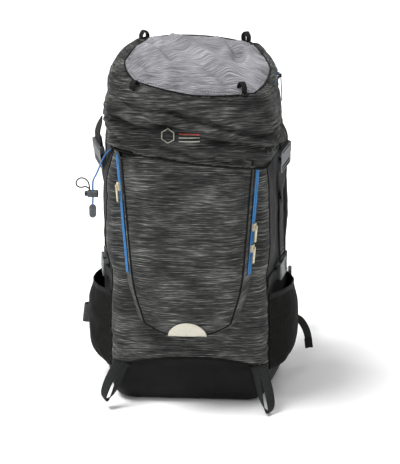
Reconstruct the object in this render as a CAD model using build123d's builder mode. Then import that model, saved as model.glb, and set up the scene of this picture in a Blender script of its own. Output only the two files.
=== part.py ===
from build123d import *
import os
from math import cos, radians, sin, tan

# Internal-frame hiking backpack, standing on its base.
# Millimetres. +Z is up, -Y is the outer front of the bag and +Y the side that the wearer's
# back touches. The origin is the middle of the flat base. Left and right are as seen from
# the front, so left is -X. Every sewn panel is a closed sheet of its real outer shape.

os.makedirs("parts", exist_ok=True)

# ---- bag body: width is taken at mid depth, flare is how much wider the back is than the front
body_depth = 200.0
body_width_low = 308.0
body_width_high = 280.0
body_flare = 84.0
body_top = 470.0
tub_top = 45.0
foot_inset = 26.0
body_corner = 28.0
panel_wall = 4.0
base_panel_height = 84.0
seam_from_face = 30.0
fabric_gap = 0.3

# ---- collar above the body, drawn in to an oval mouth
collar_top = 520.0
collar_tuck = 15.0
collar_wall = 3.0
mouth_width = 170.0
mouth_depth = 104.0
mouth_corner = 42.0
drawcord_radius = 2.0

# ---- lid, a loose cap that hinges along its rear hem
lid_width = 300.0
lid_top_width = 276.0
lid_front_hem = -152.0
lid_front_top = -126.0
lid_rear = 105.0
lid_rear_top = 101.0
lid_corner = 52.0
lid_wall = 3.0
lid_loft_low = 380.0
lid_loft_high = 630.0
lid_hem_front_height = 440.0
lid_hem_rear_height = 509.0
lid_crown_front_height = 552.0
lid_crown_rear_height = 612.0
lid_floor_height = 529.0
lid_floor_thickness = 2.0
hinge_gap = 3.0
hinge_flap_width = 180.0

# ---- frame and padding at the wearer's side
sheet_width = 232.0
sheet_corner = 30.0
sheet_thickness = 2.0
stay_width = 25.0
stay_thickness = 3.0
stay_spacing = 130.0
pad_width = 78.0
pad_height = 190.0
pad_thickness = 22.0
pad_low = 205.0
lumbar_width = 176.0
lumbar_height = 100.0
lumbar_low = 62.0

# ---- front pocket, a puffed panel on the front face
pocket_top = 446.0
pocket_bottom = 128.0
pocket_top_width = 246.0
pocket_bottom_width = 202.0
pocket_depth = 38.0
pocket_slope = 16.0
pocket_wall = 3.0
pocket_bottom_corner = 48.0
pocket_top_corner = 8.0
patch_radius = 33.0
patch_thickness = 0.8

# ---- side pockets of mesh
mesh_length = 140.0
mesh_bulge = 36.0
mesh_low = 48.0
mesh_high = 188.0
mesh_wall = 2.5

# ---- zips, sliders and pulls
tape_width = 12.0
tape_thickness = 1.0
coil_width = 4.0
coil_height = 1.6
slider_width = 9.0
slider_length = 13.0
slider_height = 4.2
slider_clearance = 0.3
lug_width = 2.4
lug_length = 6.0
lug_height = 3.2
pin_radius = 0.8
pin_clearance = 0.06
pull_width = 6.4
pull_thickness = 1.6
pocket_pull_length = 26.0
lid_pull_length = 44.0
pocket_zip_low = 252.0
pocket_zip_high = 436.0
lid_zip_height = 562.0
lid_zip_rear = 62.0
lid_zip_length = 96.0
lid_slider_y = 24.0
right_upper_z = 338.0
right_lower_z = 300.0
left_slider_z = 405.0

# ---- webbing and side-release buckles
webbing_thickness = 1.6
strap_webbing_width = 25.0
compression_webbing_width = 20.0
belt_webbing_width = 38.0
belt_webbing_thickness = 2.0
belt_plug_run = 56.0
belt_socket_run = 30.0
buckle_reach = 28.0
buckle_thickness = 9.0
buckle_side = 4.5
prong_length = 15.0
prong_clearance = 2.2
prong_thickness = 2.4
buckle_cavity = 6.2
frame_length = 26.0
ladder_bar = 3.0
ladder_slot = 5.0

# ---- lid strap: it leaves the lid along the hinge's circle, so that the buckle pulls straight,
# and it is turned about its own length to face part of the way to the front
hinge_y = body_depth / 2 + 2.0
hinge_z = lid_hem_rear_height - hinge_gap
strap_mouth_y = -25.0
strap_mouth_z = 433.0
strap_x = 158.0
strap_turn = 28.0
strap_tail_drop = 108.0
side_strap_top = 352.0
side_strap_low = 236.0

# ---- compression strap round each side
compression_z = 218.0

# ---- shoulder straps: both ends are sewn on, so each swings about the line between its ends
shoulder_top = Vector(60.0, 113.0, 438.0)
shoulder_foot = Vector(150.0, 112.0, 48.0)
shoulder_width = 58.0
shoulder_end_width = 34.0
shoulder_thickness = 12.0
shoulder_rise = 58.0
shoulder_pad_end = 240.0
sternum_place = 125.0
sternum_webbing_width = 18.0
sternum_clip_width = 20.0
sternum_clip_thickness = 6.0
sternum_clip_body = 8.0
sternum_prong_length = 9.0

# ---- haul handle
handle_radius = 4.0
handle_half = 60.0
handle_reach = 28.0
handle_y = 110.0
handle_z = 466.0
anchor_width = 10.0
anchor_clearance = 0.1

# ---- hip belt
wing_path = ((96.0, 116.0), (124.0, 130.0), (158.0, 152.0), (166.0, 196.0))
wing_bend = 16.0
wing_thickness = 10.0
wing_low = 64.0
wing_high = 140.0
belt_start = (165.5, 197.4)
belt_turn = (164.5, 206.0)

# ---- loose ends of the straps that steady the belt: one folded back, one hanging
stabiliser_fold_z = 92.0
stabiliser_fold_path = (
    (112.0, 101.1),
    (165.0, 101.1),
    (200.0, 90.0),
    (197.0, 79.0),
    (178.0, 84.0),
)
stabiliser_tail_y = 92.0
stabiliser_tail_path = ((168.0, 88.0), (188.0, 88.0), (204.0, 66.0), (209.0, 30.0))
stabiliser_width = 14.0

# ---- webbing loops at the foot, for poles or an axe: each hangs from its seam
right_loop_top = Vector(122.0, -114.0, 78.0)
right_loop_foot = Vector(140.0, -136.0, 4.0)
left_loop_top = Vector(-118.0, -114.0, 78.0)
left_loop_foot = Vector(-143.0, -130.0, 17.0)
loop_turn = 20.0
loop_webbing_width = 17.0

# ---- cord and cord lock beside the left zip
cord_radius = 1.5
cord_lock_radius = 6.5
cord_lock_length = 18.0
plunger_radius = 4.6
plunger_clearance = 0.15
plunger_travel = 4.0
plunger_depth = 13.0
cord_tab_y = -58.0
cord_tab_z = 452.0
cord_tab_thickness = 3.0
cord_hole_clearance = 0.6
cord_lock_place = Vector(-170.0, -32.0, 362.0)
bungee_radius = 1.25
cord_tag_top = Vector(-171.0, -31.5, 342.2)
cord_tag_length = 24.0
cord_tag_width = 12.0
cord_tag_thickness = 3.0


half_depth = body_depth / 2
flare_slope = body_flare / 2 / body_depth
taper_slope = (body_width_high - body_width_low) / 2 / (body_top - tub_top)
side_spread = (1 + flare_slope**2) ** 0.5


def save(part, name):
    part.label = name
    export_step(part, f"parts/{name}.step")
    return part


def save_pair(part, name):
    """Writes the right-hand piece and its mirror image as right_NAME and left_NAME."""
    save(part, f"right_{name}")
    return save(part.mirror(Plane.YZ), f"left_{name}")


def save_both(part, name):
    """Writes the right-hand piece and its mirror image as one node of separate solids."""
    with BuildPart() as both:
        add(part)
        add(part.mirror(Plane.YZ))
    return save(both.part, name)


def join(*parts):
    with BuildPart() as group:
        for part in parts:
            add(part)
    return group.part


def put(part, plane):
    """A piece drawn in its own frame, placed on a plane."""
    with BuildPart() as placed:
        add(part.moved(plane.location))
    return placed.part


def box_between(low, high):
    with BuildPart() as block:
        centre = tuple((a + b) / 2 for a, b in zip(low, high))
        with Locations(centre):
            Box(*[b - a for a, b in zip(low, high)])
    return block.part


def strip(plane, points, radius, width, thickness):
    """Webbing that bends in a plane: points are its middle line there, width is across it."""
    with BuildPart() as band:
        with BuildSketch(plane):
            with BuildLine():
                FilletPolyline(*points, radius=radius)
            trace(line_width=thickness)
        extrude(amount=width / 2, both=True)
    return band.part


def bending_plane(plane):
    """The plane in which webbing bends when it lies along a plane's Y and faces its Z."""
    return Plane(origin=plane.origin, x_dir=plane.y_dir, z_dir=plane.x_dir)


# ---------------------------------------------------------------- bag body


def half_width(z):
    """Half the body's width at mid depth, at height z on its straight part."""
    return body_width_low / 2 + taper_slope * (z - tub_top)


def side_x(y, z):
    return half_width(z) + flare_slope * y


def outline(z, inset):
    """Corners of the body's plan outline at height z, moved in by inset."""
    inset += foot_inset * max(0.0, 1 - z / tub_top)
    middle = half_width(max(z, tub_top)) - inset * side_spread
    y = half_depth - inset
    front, back = middle - flare_slope * y, middle + flare_slope * y
    return (-front, -y), (front, -y), (back, y), (-back, y)


def plan_face(z, corners, radius):
    with BuildSketch(Plane.XY.offset(z)) as face:
        with BuildLine():
            Polyline(*corners, close=True)
        make_face()
        fillet(face.vertices(), radius)
    return face.sketch


def body_block(inset, low, high):
    with BuildPart() as block:
        for z in (low, tub_top, high):
            add(plan_face(z, outline(z, inset), body_corner - inset))
        loft(ruled=True)
    return block.part


def side_plane(y, z, lift=0.0):
    """On the right side face: X runs back, Y up the face and Z out of it."""
    plane = Plane(
        origin=(side_x(y, z), y, z),
        x_dir=(flare_slope, 1, 0),
        z_dir=(1, -flare_slope, -taper_slope),
    )
    return plane.offset(lift)


body_outer = body_block(0.0, 0.0, body_top)
with BuildPart() as body_shell:
    add(body_outer)
    add(body_block(panel_wall, panel_wall, body_top + 1), mode=Mode.SUBTRACT)

reach = body_width_low
seam_y = half_depth - seam_from_face


def body_panel(low, high):
    with BuildPart() as panel:
        add(body_shell.part)
        add(box_between(low, high), mode=Mode.INTERSECT)
    return panel.part


save(body_panel((-reach, -reach, 0), (reach, reach, base_panel_height)), "base_panel")
save(body_panel((-reach, -reach, base_panel_height), (reach, -seam_y, body_top)), "front_panel")
save_pair(body_panel((0, -seam_y, base_panel_height), (reach, seam_y, body_top)), "side_panel")

with BuildPart() as back_panel:
    add(body_panel((-reach, seam_y, base_panel_height), (reach, reach, body_top)))
    add(
        box_between(
            (-hinge_flap_width / 2, half_depth - panel_wall, body_top - panel_wall),
            (hinge_flap_width / 2, half_depth, hinge_z - hinge_gap),
        )
    )
save(back_panel.part, "back_panel")


def collar_block(inset, top):
    """The collar's outer shape, moved in by inset, tucked inside the body's top hem."""
    tuck = panel_wall + fabric_gap + inset
    mouth_x, mouth_y = mouth_width / 2 - inset, mouth_depth / 2 - inset
    mouth = ((-mouth_x, -mouth_y), (mouth_x, -mouth_y), (mouth_x, mouth_y), (-mouth_x, mouth_y))
    with BuildPart() as block:
        for z in (body_top - collar_tuck, body_top):
            add(plan_face(z, outline(z, tuck), body_corner - tuck))
        add(plan_face(top, mouth, mouth_corner - inset))
        loft(ruled=True)
    return block.part


with BuildPart() as collar:
    add(collar_block(0.0, collar_top))
    add(collar_block(collar_wall, collar_top), mode=Mode.SUBTRACT)
save(collar.part, "collar")

rim_x = mouth_width / 2 - collar_wall / 2
rim_y = mouth_depth / 2 - collar_wall / 2
with BuildPart() as collar_drawcord:
    with BuildLine(Plane.XY.offset(collar_top + drawcord_radius + fabric_gap)) as rim:
        Polyline((-rim_x, -rim_y), (rim_x, -rim_y), (rim_x, rim_y), (-rim_x, rim_y), close=True)
        fillet(rim.vertices(), mouth_corner - collar_wall / 2)
    with BuildSketch(Plane(origin=rim.line @ 0, z_dir=rim.line % 0)):
        Circle(drawcord_radius)
    sweep(path=rim.line)
save(collar_drawcord.part, "collar_drawcord")

# ---------------------------------------------------------------- frame and back padding

sheet_back = half_depth - panel_wall - fabric_gap
with BuildPart() as frame_sheet:
    with BuildSketch(Plane.XZ.offset(-sheet_back)) as sheet_face:
        with Locations((0, (pad_low + pad_height + lumbar_low) / 2)):
            Rectangle(sheet_width, pad_low + pad_height - lumbar_low)
        fillet(sheet_face.vertices(), sheet_corner)
    extrude(amount=sheet_thickness)
save(frame_sheet.part, "frame_sheet")

stay_back = sheet_back - sheet_thickness
with BuildPart() as stay:
    with BuildSketch(Plane.XZ.offset(-stay_back)):
        with Locations((stay_spacing / 2, (pad_low + pad_height + lumbar_low) / 2)):
            SlotOverall(pad_low + pad_height - lumbar_low - stay_width, stay_width, rotation=90)
    extrude(amount=stay_thickness)
save_both(stay.part, "frame_stays")


def foam_pad(centre_x, low, width, height):
    """A flat-backed foam pad on the back panel, with a rounded outer rim."""
    with BuildPart() as pad:
        with BuildSketch(Plane.XZ.offset(-half_depth)) as face:
            with Locations((centre_x, low + height / 2)):
                RectangleRounded(width, height, width / 5)
        extrude(amount=-pad_thickness)
        fillet(pad.faces().sort_by(Axis.Y)[-1].edges(), pad_thickness / 3)
    return pad.part


back_pad = foam_pad(pad_width / 2 + 10, pad_low, pad_width, pad_height)
save(
    join(
        back_pad,
        back_pad.mirror(Plane.YZ),
        foam_pad(0, lumbar_low, lumbar_width, lumbar_height),
    ),
    "back_pads",
)

# ---------------------------------------------------------------- front pocket


def pocket_corners(inset, drop=0.0):
    """Trapezoid of the pocket's outline in front view, moved in by inset at sides and foot."""
    lean = (pocket_top_width - pocket_bottom_width) / 2 / (pocket_top - pocket_bottom)
    spread = (1 + lean**2) ** 0.5
    low, high = pocket_bottom + inset, pocket_top - drop
    low_x = pocket_bottom_width / 2 + lean * (low - pocket_bottom) - inset * spread
    high_x = pocket_bottom_width / 2 + lean * (high - pocket_bottom) - inset * spread
    return (-low_x, low), (low_x, low), (high_x, high), (-high_x, high)


def front_plane(depth):
    """Parallel to the front face and in front of it: X is right and Y is up."""
    return Plane(origin=(0, -half_depth - depth, 0), x_dir=(1, 0, 0), z_dir=(0, -1, 0))


def pocket_block(inset, depth):
    """The pocket's outer shape moved in by inset, from inside the body out to depth."""
    with BuildPart() as block:
        for out in (-seam_from_face, depth):
            slope = pocket_slope * out / pocket_depth
            with BuildSketch(front_plane(out)) as face:
                with BuildLine():
                    Polyline(*pocket_corners(inset + slope, inset + slope / 4), close=True)
                make_face()
                low_corners = face.vertices().group_by(Axis.Y)[0]
                fillet(low_corners, pocket_bottom_corner - inset - slope)
                high_corners = face.vertices().group_by(Axis.Y)[-1]
                fillet(high_corners, pocket_top_corner - (slope + inset) / 4)
        loft(ruled=True)
    return block.part


with BuildPart() as front_pocket:
    add(pocket_block(0.0, pocket_depth))
    add(pocket_block(pocket_wall, pocket_depth - pocket_wall), mode=Mode.SUBTRACT)
    add(body_outer, mode=Mode.SUBTRACT)
save(front_pocket.part, "front_pocket")

patch_low = pocket_bottom + pocket_slope
with BuildPart() as reflective_patch:
    with BuildSketch(front_plane(pocket_depth)):
        with Locations((0, patch_low)):
            Circle(patch_radius)
        with Locations((0, patch_low)):
            Rectangle(
                2 * patch_radius, patch_radius, align=(Align.CENTER, Align.MAX), mode=Mode.SUBTRACT
            )
    extrude(amount=patch_thickness)
save(reflective_patch.part, "reflective_patch")

# ---------------------------------------------------------------- mesh side pockets


def lens(plane, half_length, bulge):
    """Flat-backed curved face: the back lies along X, and the curve bulges towards -Y."""
    with BuildSketch(plane) as face:
        with BuildLine():
            Line((-half_length, 0), (half_length, 0))
            ThreePointArc((-half_length, 0), (0, -bulge), (half_length, 0))
        make_face()
    return face.sketch


mesh_foot = side_plane(0, mesh_low)
mesh_section = Plane(origin=mesh_foot.origin, x_dir=mesh_foot.x_dir, z_dir=mesh_foot.y_dir)
with BuildPart() as mesh_pocket:
    add(lens(mesh_section, mesh_length / 2, mesh_bulge))
    extrude(amount=mesh_high - mesh_low)
    add(lens(mesh_section.offset(mesh_wall), mesh_length / 2 - mesh_wall * 2, mesh_bulge - mesh_wall))
    extrude(amount=mesh_high - mesh_low, mode=Mode.SUBTRACT)
save_pair(mesh_pocket.part, "mesh_pocket")

# ---------------------------------------------------------------- zips

pull_axis_height = tape_thickness + slider_clearance + slider_height + lug_height / 2


def zip_strip(length):
    """Zip tape with its coil, along Y from the origin, lying on Z=0."""
    with BuildPart() as tape:
        for width, low, high in (
            (tape_width, 0.0, tape_thickness),
            (coil_width, tape_thickness, tape_thickness + coil_height),
        ):
            with Locations((0, length / 2, (low + high) / 2)):
                Box(width, length, high - low)
    return tape.part


def zip_slider(turned=False):
    """Slider over the coil, centred on the origin. turned puts the pull's pin along the zip."""
    low = tape_thickness + slider_clearance
    with BuildPart() as slider:
        with Locations((0, 0, low)):
            Box(
                slider_width,
                slider_length,
                slider_height,
                align=(Align.CENTER, Align.CENTER, Align.MIN),
            )
        chamfer(slider.faces().sort_by(Axis.Z)[-1].edges(), slider_height / 4)
        with Locations((0, 0, low)):
            Box(
                coil_width + 2 * slider_clearance,
                slider_length,
                coil_height,
                align=(Align.CENTER, Align.CENTER, Align.MIN),
                mode=Mode.SUBTRACT,
            )
        lug_size = (lug_length, lug_width) if turned else (lug_width, lug_length)
        with Locations((0, 0, low + slider_height)):
            Box(*lug_size, lug_height, align=(Align.CENTER, Align.CENTER, Align.MIN))
        turn = (90, 0, 0) if turned else (0, 90, 0)
        with Locations(Location((0, 0, pull_axis_height), turn)):
            Cylinder(pin_radius + pin_clearance, slider_width, mode=Mode.SUBTRACT)
    return slider.part


def zip_pull(length, tip_width):
    """Pull that hangs towards -Y from a pin along X through the slider's lug."""
    ear_gap = lug_width + 4 * slider_clearance
    start = lug_length / 2 + 2.0
    with BuildPart() as pull:
        with Locations(Location((0, 0, pull_axis_height), (0, 90, 0))):
            Cylinder(pin_radius, pull_width)
        with BuildSketch(Plane.XY.offset(pull_axis_height - pull_thickness / 2)):
            with Locations((0, pin_radius)):
                Rectangle(pull_width, start + pull_width, align=(Align.CENTER, Align.MAX))
            with Locations((0, -start + 0.5)):
                Rectangle(ear_gap, start + 5, align=(Align.CENTER, Align.MIN), mode=Mode.SUBTRACT)
            with BuildLine():
                Polyline(
                    (-pull_width / 2, -start - 2),
                    (pull_width / 2, -start - 2),
                    (tip_width / 2, -length),
                    (-tip_width / 2, -length),
                    close=True,
                )
            make_face()
        extrude(amount=pull_thickness)
    return pull.part


def pocket_side_plane(z):
    """On the right slanted side of the front pocket: X runs back, Y up and Z out."""
    base = [Vector(x, -half_depth, h) for x, h in pocket_corners(0.0)]
    rim = [
        Vector(x, -half_depth - pocket_depth, h)
        for x, h in pocket_corners(pocket_slope, pocket_slope / 4)
    ]
    up = (base[2] - base[1]).normalized()
    inward = rim[1] - base[1]
    back = -(inward - up * inward.dot(up)).normalized()
    share = (z - base[1].Z) / (base[2].Z - base[1].Z)
    middle = base[1] + (base[2] - base[1]) * share - back * (pocket_depth / 2)
    return Plane(origin=middle, x_dir=back, z_dir=back.cross(up))


pocket_zip = put(zip_strip(pocket_zip_high - pocket_zip_low), pocket_side_plane(pocket_zip_low))
save_both(pocket_zip, "pocket_zips")

slider = zip_slider()
pocket_pull = zip_pull(pocket_pull_length, pull_width - 1)
for name, height in (("right_upper", right_upper_z), ("right_lower", right_lower_z)):
    save(put(slider, pocket_side_plane(height)), f"{name}_slider")
    save(put(pocket_pull, pocket_side_plane(height)), f"{name}_pull")
save(put(slider, pocket_side_plane(left_slider_z)).mirror(Plane.YZ), "left_slider")
save(put(pocket_pull, pocket_side_plane(left_slider_z)).mirror(Plane.YZ), "left_pull")

# ---------------------------------------------------------------- lid


def lid_line(y, front_height, rear_height):
    share = (y - lid_front_hem) / (lid_rear - lid_front_hem)
    return front_height + (rear_height - front_height) * share


def lid_block(inset, drop=0.0):
    """The lid's outer shape moved in by inset. drop lengthens it downwards."""
    with BuildPart() as block:
        share_low = (lid_loft_low - lid_hem_front_height) / (lid_loft_high - lid_hem_front_height)
        for z, share in ((lid_loft_low, share_low), (lid_loft_high, 1.0)):
            half = lid_width / 2 + (lid_top_width - lid_width) / 2 * share - inset
            front = lid_front_hem + (lid_front_top - lid_front_hem) * share + inset
            rear = lid_rear + (lid_rear_top - lid_rear) * share - inset
            corners = ((-half, front), (half, front), (half, rear), (-half, rear))
            add(plan_face(z, corners, lid_corner - inset))
        loft(ruled=True)
        far = 2 * lid_rear
        with BuildSketch(Plane.YZ):
            with BuildLine():
                Polyline(
                    *[
                        (y, lid_line(y, *heights) - down)
                        for y, heights, down in (
                            (-far, (lid_hem_front_height, lid_hem_rear_height), drop),
                            (far, (lid_hem_front_height, lid_hem_rear_height), drop),
                            (far, (lid_crown_front_height, lid_crown_rear_height), inset),
                            (-far, (lid_crown_front_height, lid_crown_rear_height), inset),
                        )
                    ],
                    close=True,
                )
            make_face()
        extrude(amount=lid_width, both=True, mode=Mode.INTERSECT)
    return block.part


lid_outer = lid_block(0.0)
lid_inner = lid_block(lid_wall, drop=60.0)
with BuildPart() as lid_shell:
    add(lid_outer)
    add(lid_inner, mode=Mode.SUBTRACT)
save(lid_shell.part, "lid_shell")

with BuildPart() as lid_floor:
    add(lid_block(lid_wall + fabric_gap, drop=60.0))
    add(
        box_between(
            (-lid_width, lid_front_hem, lid_floor_height),
            (lid_width, lid_rear, lid_floor_height + lid_floor_thickness),
        ),
        mode=Mode.INTERSECT,
    )
save(lid_floor.part, "lid_floor")


def lid_side_plane(y, z):
    """On the lid's right side face: X is up the face, Y runs forward and Z is out."""
    rise = lid_loft_high - lid_hem_front_height
    lean = (lid_top_width - lid_width) / 2 / rise
    return Plane(
        origin=(lid_width / 2 + lean * (z - lid_hem_front_height), y, z),
        x_dir=(lean, 0, 1),
        z_dir=(1, 0, -lean),
    )


lid_zip = put(zip_strip(lid_zip_length), lid_side_plane(lid_zip_rear, lid_zip_height))
save_both(lid_zip, "lid_zips")

lid_slider_plane = lid_side_plane(lid_slider_y, lid_zip_height)
save(put(zip_slider(turned=True), lid_slider_plane), "lid_zip_slider")
lid_pull_plane = Plane(
    origin=lid_slider_plane.origin, x_dir=(0, 1, 0), z_dir=lid_slider_plane.z_dir
)
save(put(zip_pull(lid_pull_length, pull_width + 2), lid_pull_plane), "lid_zip_pull")


def lash_loop(x, y):
    """A small upright webbing loop sewn to the lid's crown."""
    foot = lid_line(y, lid_crown_front_height, lid_crown_rear_height)
    plane = Plane(origin=(x, y, foot + fabric_gap), x_dir=(0, 1, 0), z_dir=(1, 0, 0))
    span, rise = 7.0, 20.0
    return strip(
        plane,
        ((-span, 2.0), (-span + 1, rise), (span - 1, rise), (span, 2.0)),
        span / 2,
        11.0,
        webbing_thickness,
    )


lash_x = 88.0
save_both(join(lash_loop(lash_x, 74.0), lash_loop(lash_x, -104.0)), "lid_lash_loops")

# ---------------------------------------------------------------- side-release buckles


def buckle_socket(width):
    """Female half: its mouth is at Y=0 and it reaches to +Y, where webbing is sewn on."""
    outer = width + 2 * buckle_side
    with BuildPart() as socket:
        with Locations((0, buckle_reach / 2, 0)):
            Box(outer, buckle_reach, buckle_thickness)
        fillet(socket.edges().filter_by(Axis.Z), buckle_side)
        cavity = prong_length + 2
        with Locations((0, cavity / 2, 0)):
            Box(width + 2, cavity, buckle_cavity, mode=Mode.SUBTRACT)
        with Locations((0, buckle_reach - ladder_slot, 0)):
            Box(width + 1, ladder_slot - 1, buckle_thickness, mode=Mode.SUBTRACT)
        for side in (-1, 1):
            with Locations((side * outer / 2, cavity / 2 + 1, 0)):
                Box(2 * buckle_side, cavity - 8, buckle_cavity, mode=Mode.SUBTRACT)
    return socket.part


def buckle_plug(width):
    """Male half: prongs reach to Y=+prong_length, and the ladder frame lies below Y=0."""
    outer = width + 2 * buckle_side
    arm = width / 2 + 1 - prong_clearance
    with BuildPart() as plug:
        with Locations((0, -0.5 - frame_length / 2, 0)):
            Box(outer, frame_length, buckle_thickness - 2)
        fillet(plug.edges().filter_by(Axis.Z), buckle_side)
        for y in (-frame_length + ladder_slot, -frame_length + 2 * ladder_slot + ladder_bar):
            with Locations((0, y, 0)):
                Box(width + 1, ladder_slot, buckle_thickness, mode=Mode.SUBTRACT)
        arm_width = 5.0
        for x, size, length in (
            (-arm + arm_width / 2, arm_width, prong_length),
            (0, arm_width - 1, prong_length - 4),
            (arm - arm_width / 2, arm_width, prong_length),
        ):
            with Locations((x, -0.5 + length / 2, 0)):
                Box(size, length, prong_thickness)
    return plug.part


socket_25 = buckle_socket(strap_webbing_width)
plug_25 = buckle_plug(strap_webbing_width)

mouth = Vector(strap_x, strap_mouth_y, strap_mouth_z)
arm_from_hinge = Vector(0, mouth.Y - hinge_y, mouth.Z - hinge_z)
strap_up = Vector(0, arm_from_hinge.Z, -arm_from_hinge.Y).normalized()
straight_across = strap_up.cross(Vector(1, 0, 0))
strap_face = Vector(1, 0, 0) * cos(radians(strap_turn)) - straight_across * sin(radians(strap_turn))
strap_plane = Plane(origin=mouth, x_dir=strap_up.cross(strap_face), z_dir=strap_face)
save_both(put(socket_25, strap_plane), "lid_buckle_sockets")
save_pair(put(plug_25, strap_plane), "lid_buckle_plug")

strap_bend = bending_plane(strap_plane)
lid_strap = strip(
    strap_bend,
    ((buckle_reach + fabric_gap, 0.0), (buckle_reach + 14, 0.0), (buckle_reach + 40, -3.2)),
    6.0,
    strap_webbing_width,
    webbing_thickness,
)
save_both(lid_strap, "lid_straps")

plug_back = buckle_thickness / 2 + webbing_thickness / 2
tail_end = mouth - strap_up * strap_tail_drop
tail_lift = side_x(tail_end.Y, tail_end.Z) - strap_x + webbing_thickness * 2 + 4.6
tail_lift /= cos(radians(strap_turn))
lower_webbing = strip(
    strap_bend,
    (
        (-2.0, -plug_back),
        (-60.0, -plug_back),
        (-strap_tail_drop + 22, tail_lift),
        (-strap_tail_drop, tail_lift),
    ),
    12.0,
    strap_webbing_width,
    webbing_thickness,
)
with BuildPart() as side_strap:
    side_strap_length = side_strap_top - side_strap_low
    with Locations((0, side_strap_length / 2, webbing_thickness / 2)):
        Box(strap_webbing_width, side_strap_length, webbing_thickness)
side_strap_on_face = put(side_strap.part, side_plane(tail_end.Y, side_strap_low))

# ---------------------------------------------------------------- compression straps

compression_face = side_plane(8.0, compression_z, buckle_thickness / 2 + 2.4)
compression_plane = Plane(
    origin=compression_face.origin, x_dir=compression_face.y_dir, z_dir=compression_face.z_dir
)
socket_20 = buckle_socket(compression_webbing_width)
plug_20 = buckle_plug(compression_webbing_width)
save_both(put(socket_20, compression_plane), "compression_sockets")
save_pair(put(plug_20, compression_plane), "compression_plug")
compression_bend = bending_plane(compression_plane)
on_face = -buckle_thickness / 2 - 2.4 + webbing_thickness / 2 + 0.2
front_compression = strip(
    compression_bend,
    ((buckle_reach + fabric_gap, 0.0), (buckle_reach + 10, 0.0), (buckle_reach + 26, on_face),
     (buckle_reach + 44, on_face)),
    5.0,
    compression_webbing_width,
    webbing_thickness,
)
rear_compression = strip(
    compression_bend,
    ((-6.0, on_face), (-40.0, on_face), (-72.0, on_face + 0.1)),
    6.0,
    compression_webbing_width,
    webbing_thickness,
)
with BuildPart() as cord_tab:
    with Locations((0, 0, cord_tab_thickness / 2)):
        Box(12.0, 16.0, cord_tab_thickness)
cord_tab_on_face = put(cord_tab.part, side_plane(cord_tab_y, cord_tab_z)).mirror(Plane.YZ)
right_webbing = join(lower_webbing, side_strap_on_face, front_compression, rear_compression)
side_webbing = join(right_webbing, right_webbing.mirror(Plane.YZ), cord_tab_on_face)

# ---------------------------------------------------------------- shoulder straps

chord = shoulder_foot - shoulder_top
chord_length = chord.length
chord_down = chord.normalized()
chord_out = (Vector(0, 1, 0) - chord_down * chord_down.Y).normalized()
rise_plane = Plane(
    origin=shoulder_top, x_dir=chord_down, z_dir=chord_down.cross(chord_out)
)
spread_plane = Plane(origin=shoulder_top, x_dir=chord_down, z_dir=chord_out)

with BuildPart() as shoulder_strap:
    with BuildSketch(rise_plane):
        with BuildLine():
            FilletPolyline(
                (0, 3.0),
                (36, 32.0),
                (78, shoulder_rise),
                (180, shoulder_rise),
                (shoulder_pad_end, 32.0),
                radius=28.0,
            )
        trace(line_width=shoulder_thickness)
    extrude(amount=shoulder_width / 2, both=True)
    with BuildSketch(spread_plane) as spread:
        with BuildLine():
            Polyline(
                (-20, -shoulder_end_width / 2),
                (10, -shoulder_end_width / 2),
                (55, -shoulder_width / 2),
                (185, -shoulder_width / 2),
                (shoulder_pad_end + 20, -shoulder_end_width / 2),
                (shoulder_pad_end + 20, shoulder_end_width / 2),
                (185, shoulder_width / 2),
                (55, shoulder_width / 2),
                (10, shoulder_end_width / 2),
                (-20, shoulder_end_width / 2),
                close=True,
            )
        make_face()
    extrude(amount=2 * shoulder_rise, both=True, mode=Mode.INTERSECT)
save_pair(shoulder_strap.part, "shoulder_strap")

ladder_start = shoulder_pad_end + 4.0
ladder_length = 20.0
ladder_height = 26.0
ladder_plane = Plane(
    origin=shoulder_top + chord_down * ladder_start + chord_out * ladder_height,
    x_dir=chord_down,
    z_dir=chord_out,
)
with BuildPart() as ladder_lock:
    with Locations((ladder_length / 2, 0, 0)):
        Box(ladder_length, strap_webbing_width + 2 * buckle_side, 6.0)
    fillet(ladder_lock.edges().filter_by(Axis.Z), buckle_side)
    for x in (ladder_slot, ladder_length - ladder_slot):
        with Locations((x, 0, 0)):
            Box(ladder_slot, strap_webbing_width + 1, 6.0, mode=Mode.SUBTRACT)
save_pair(put(ladder_lock.part, ladder_plane), "ladder_lock")

webbing_start = ladder_start + ladder_length + 1.4
strap_webbing = strip(
    rise_plane,
    (
        (webbing_start, ladder_height - 1),
        (webbing_start + 30, 3.0),
        (chord_length - 14, 0.0),
        (chord_length, -1.0),
    ),
    12.0,
    strap_webbing_width,
    webbing_thickness,
)
save_pair(strap_webbing, "shoulder_webbing")

sternum_lift = shoulder_rise + shoulder_thickness / 2 + fabric_gap
inward = Vector(-1, 0, 0)
inward = (inward - chord_down * inward.dot(chord_down) - chord_out * inward.dot(chord_out)).normalized()
sternum_plane = Plane(
    origin=shoulder_top + chord_down * sternum_place + chord_out * sternum_lift,
    x_dir=inward.cross(chord_out),
    z_dir=chord_out,
)
webbing_reach = shoulder_width / 2 + 2
clip_start = webbing_reach + 0.2
with BuildPart() as sternum_webbing:
    with Locations((0, 0, webbing_thickness / 2)):
        Box(sternum_webbing_width, 2 * webbing_reach, webbing_thickness)
save_pair(put(sternum_webbing.part, sternum_plane), "sternum_webbing")

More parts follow.
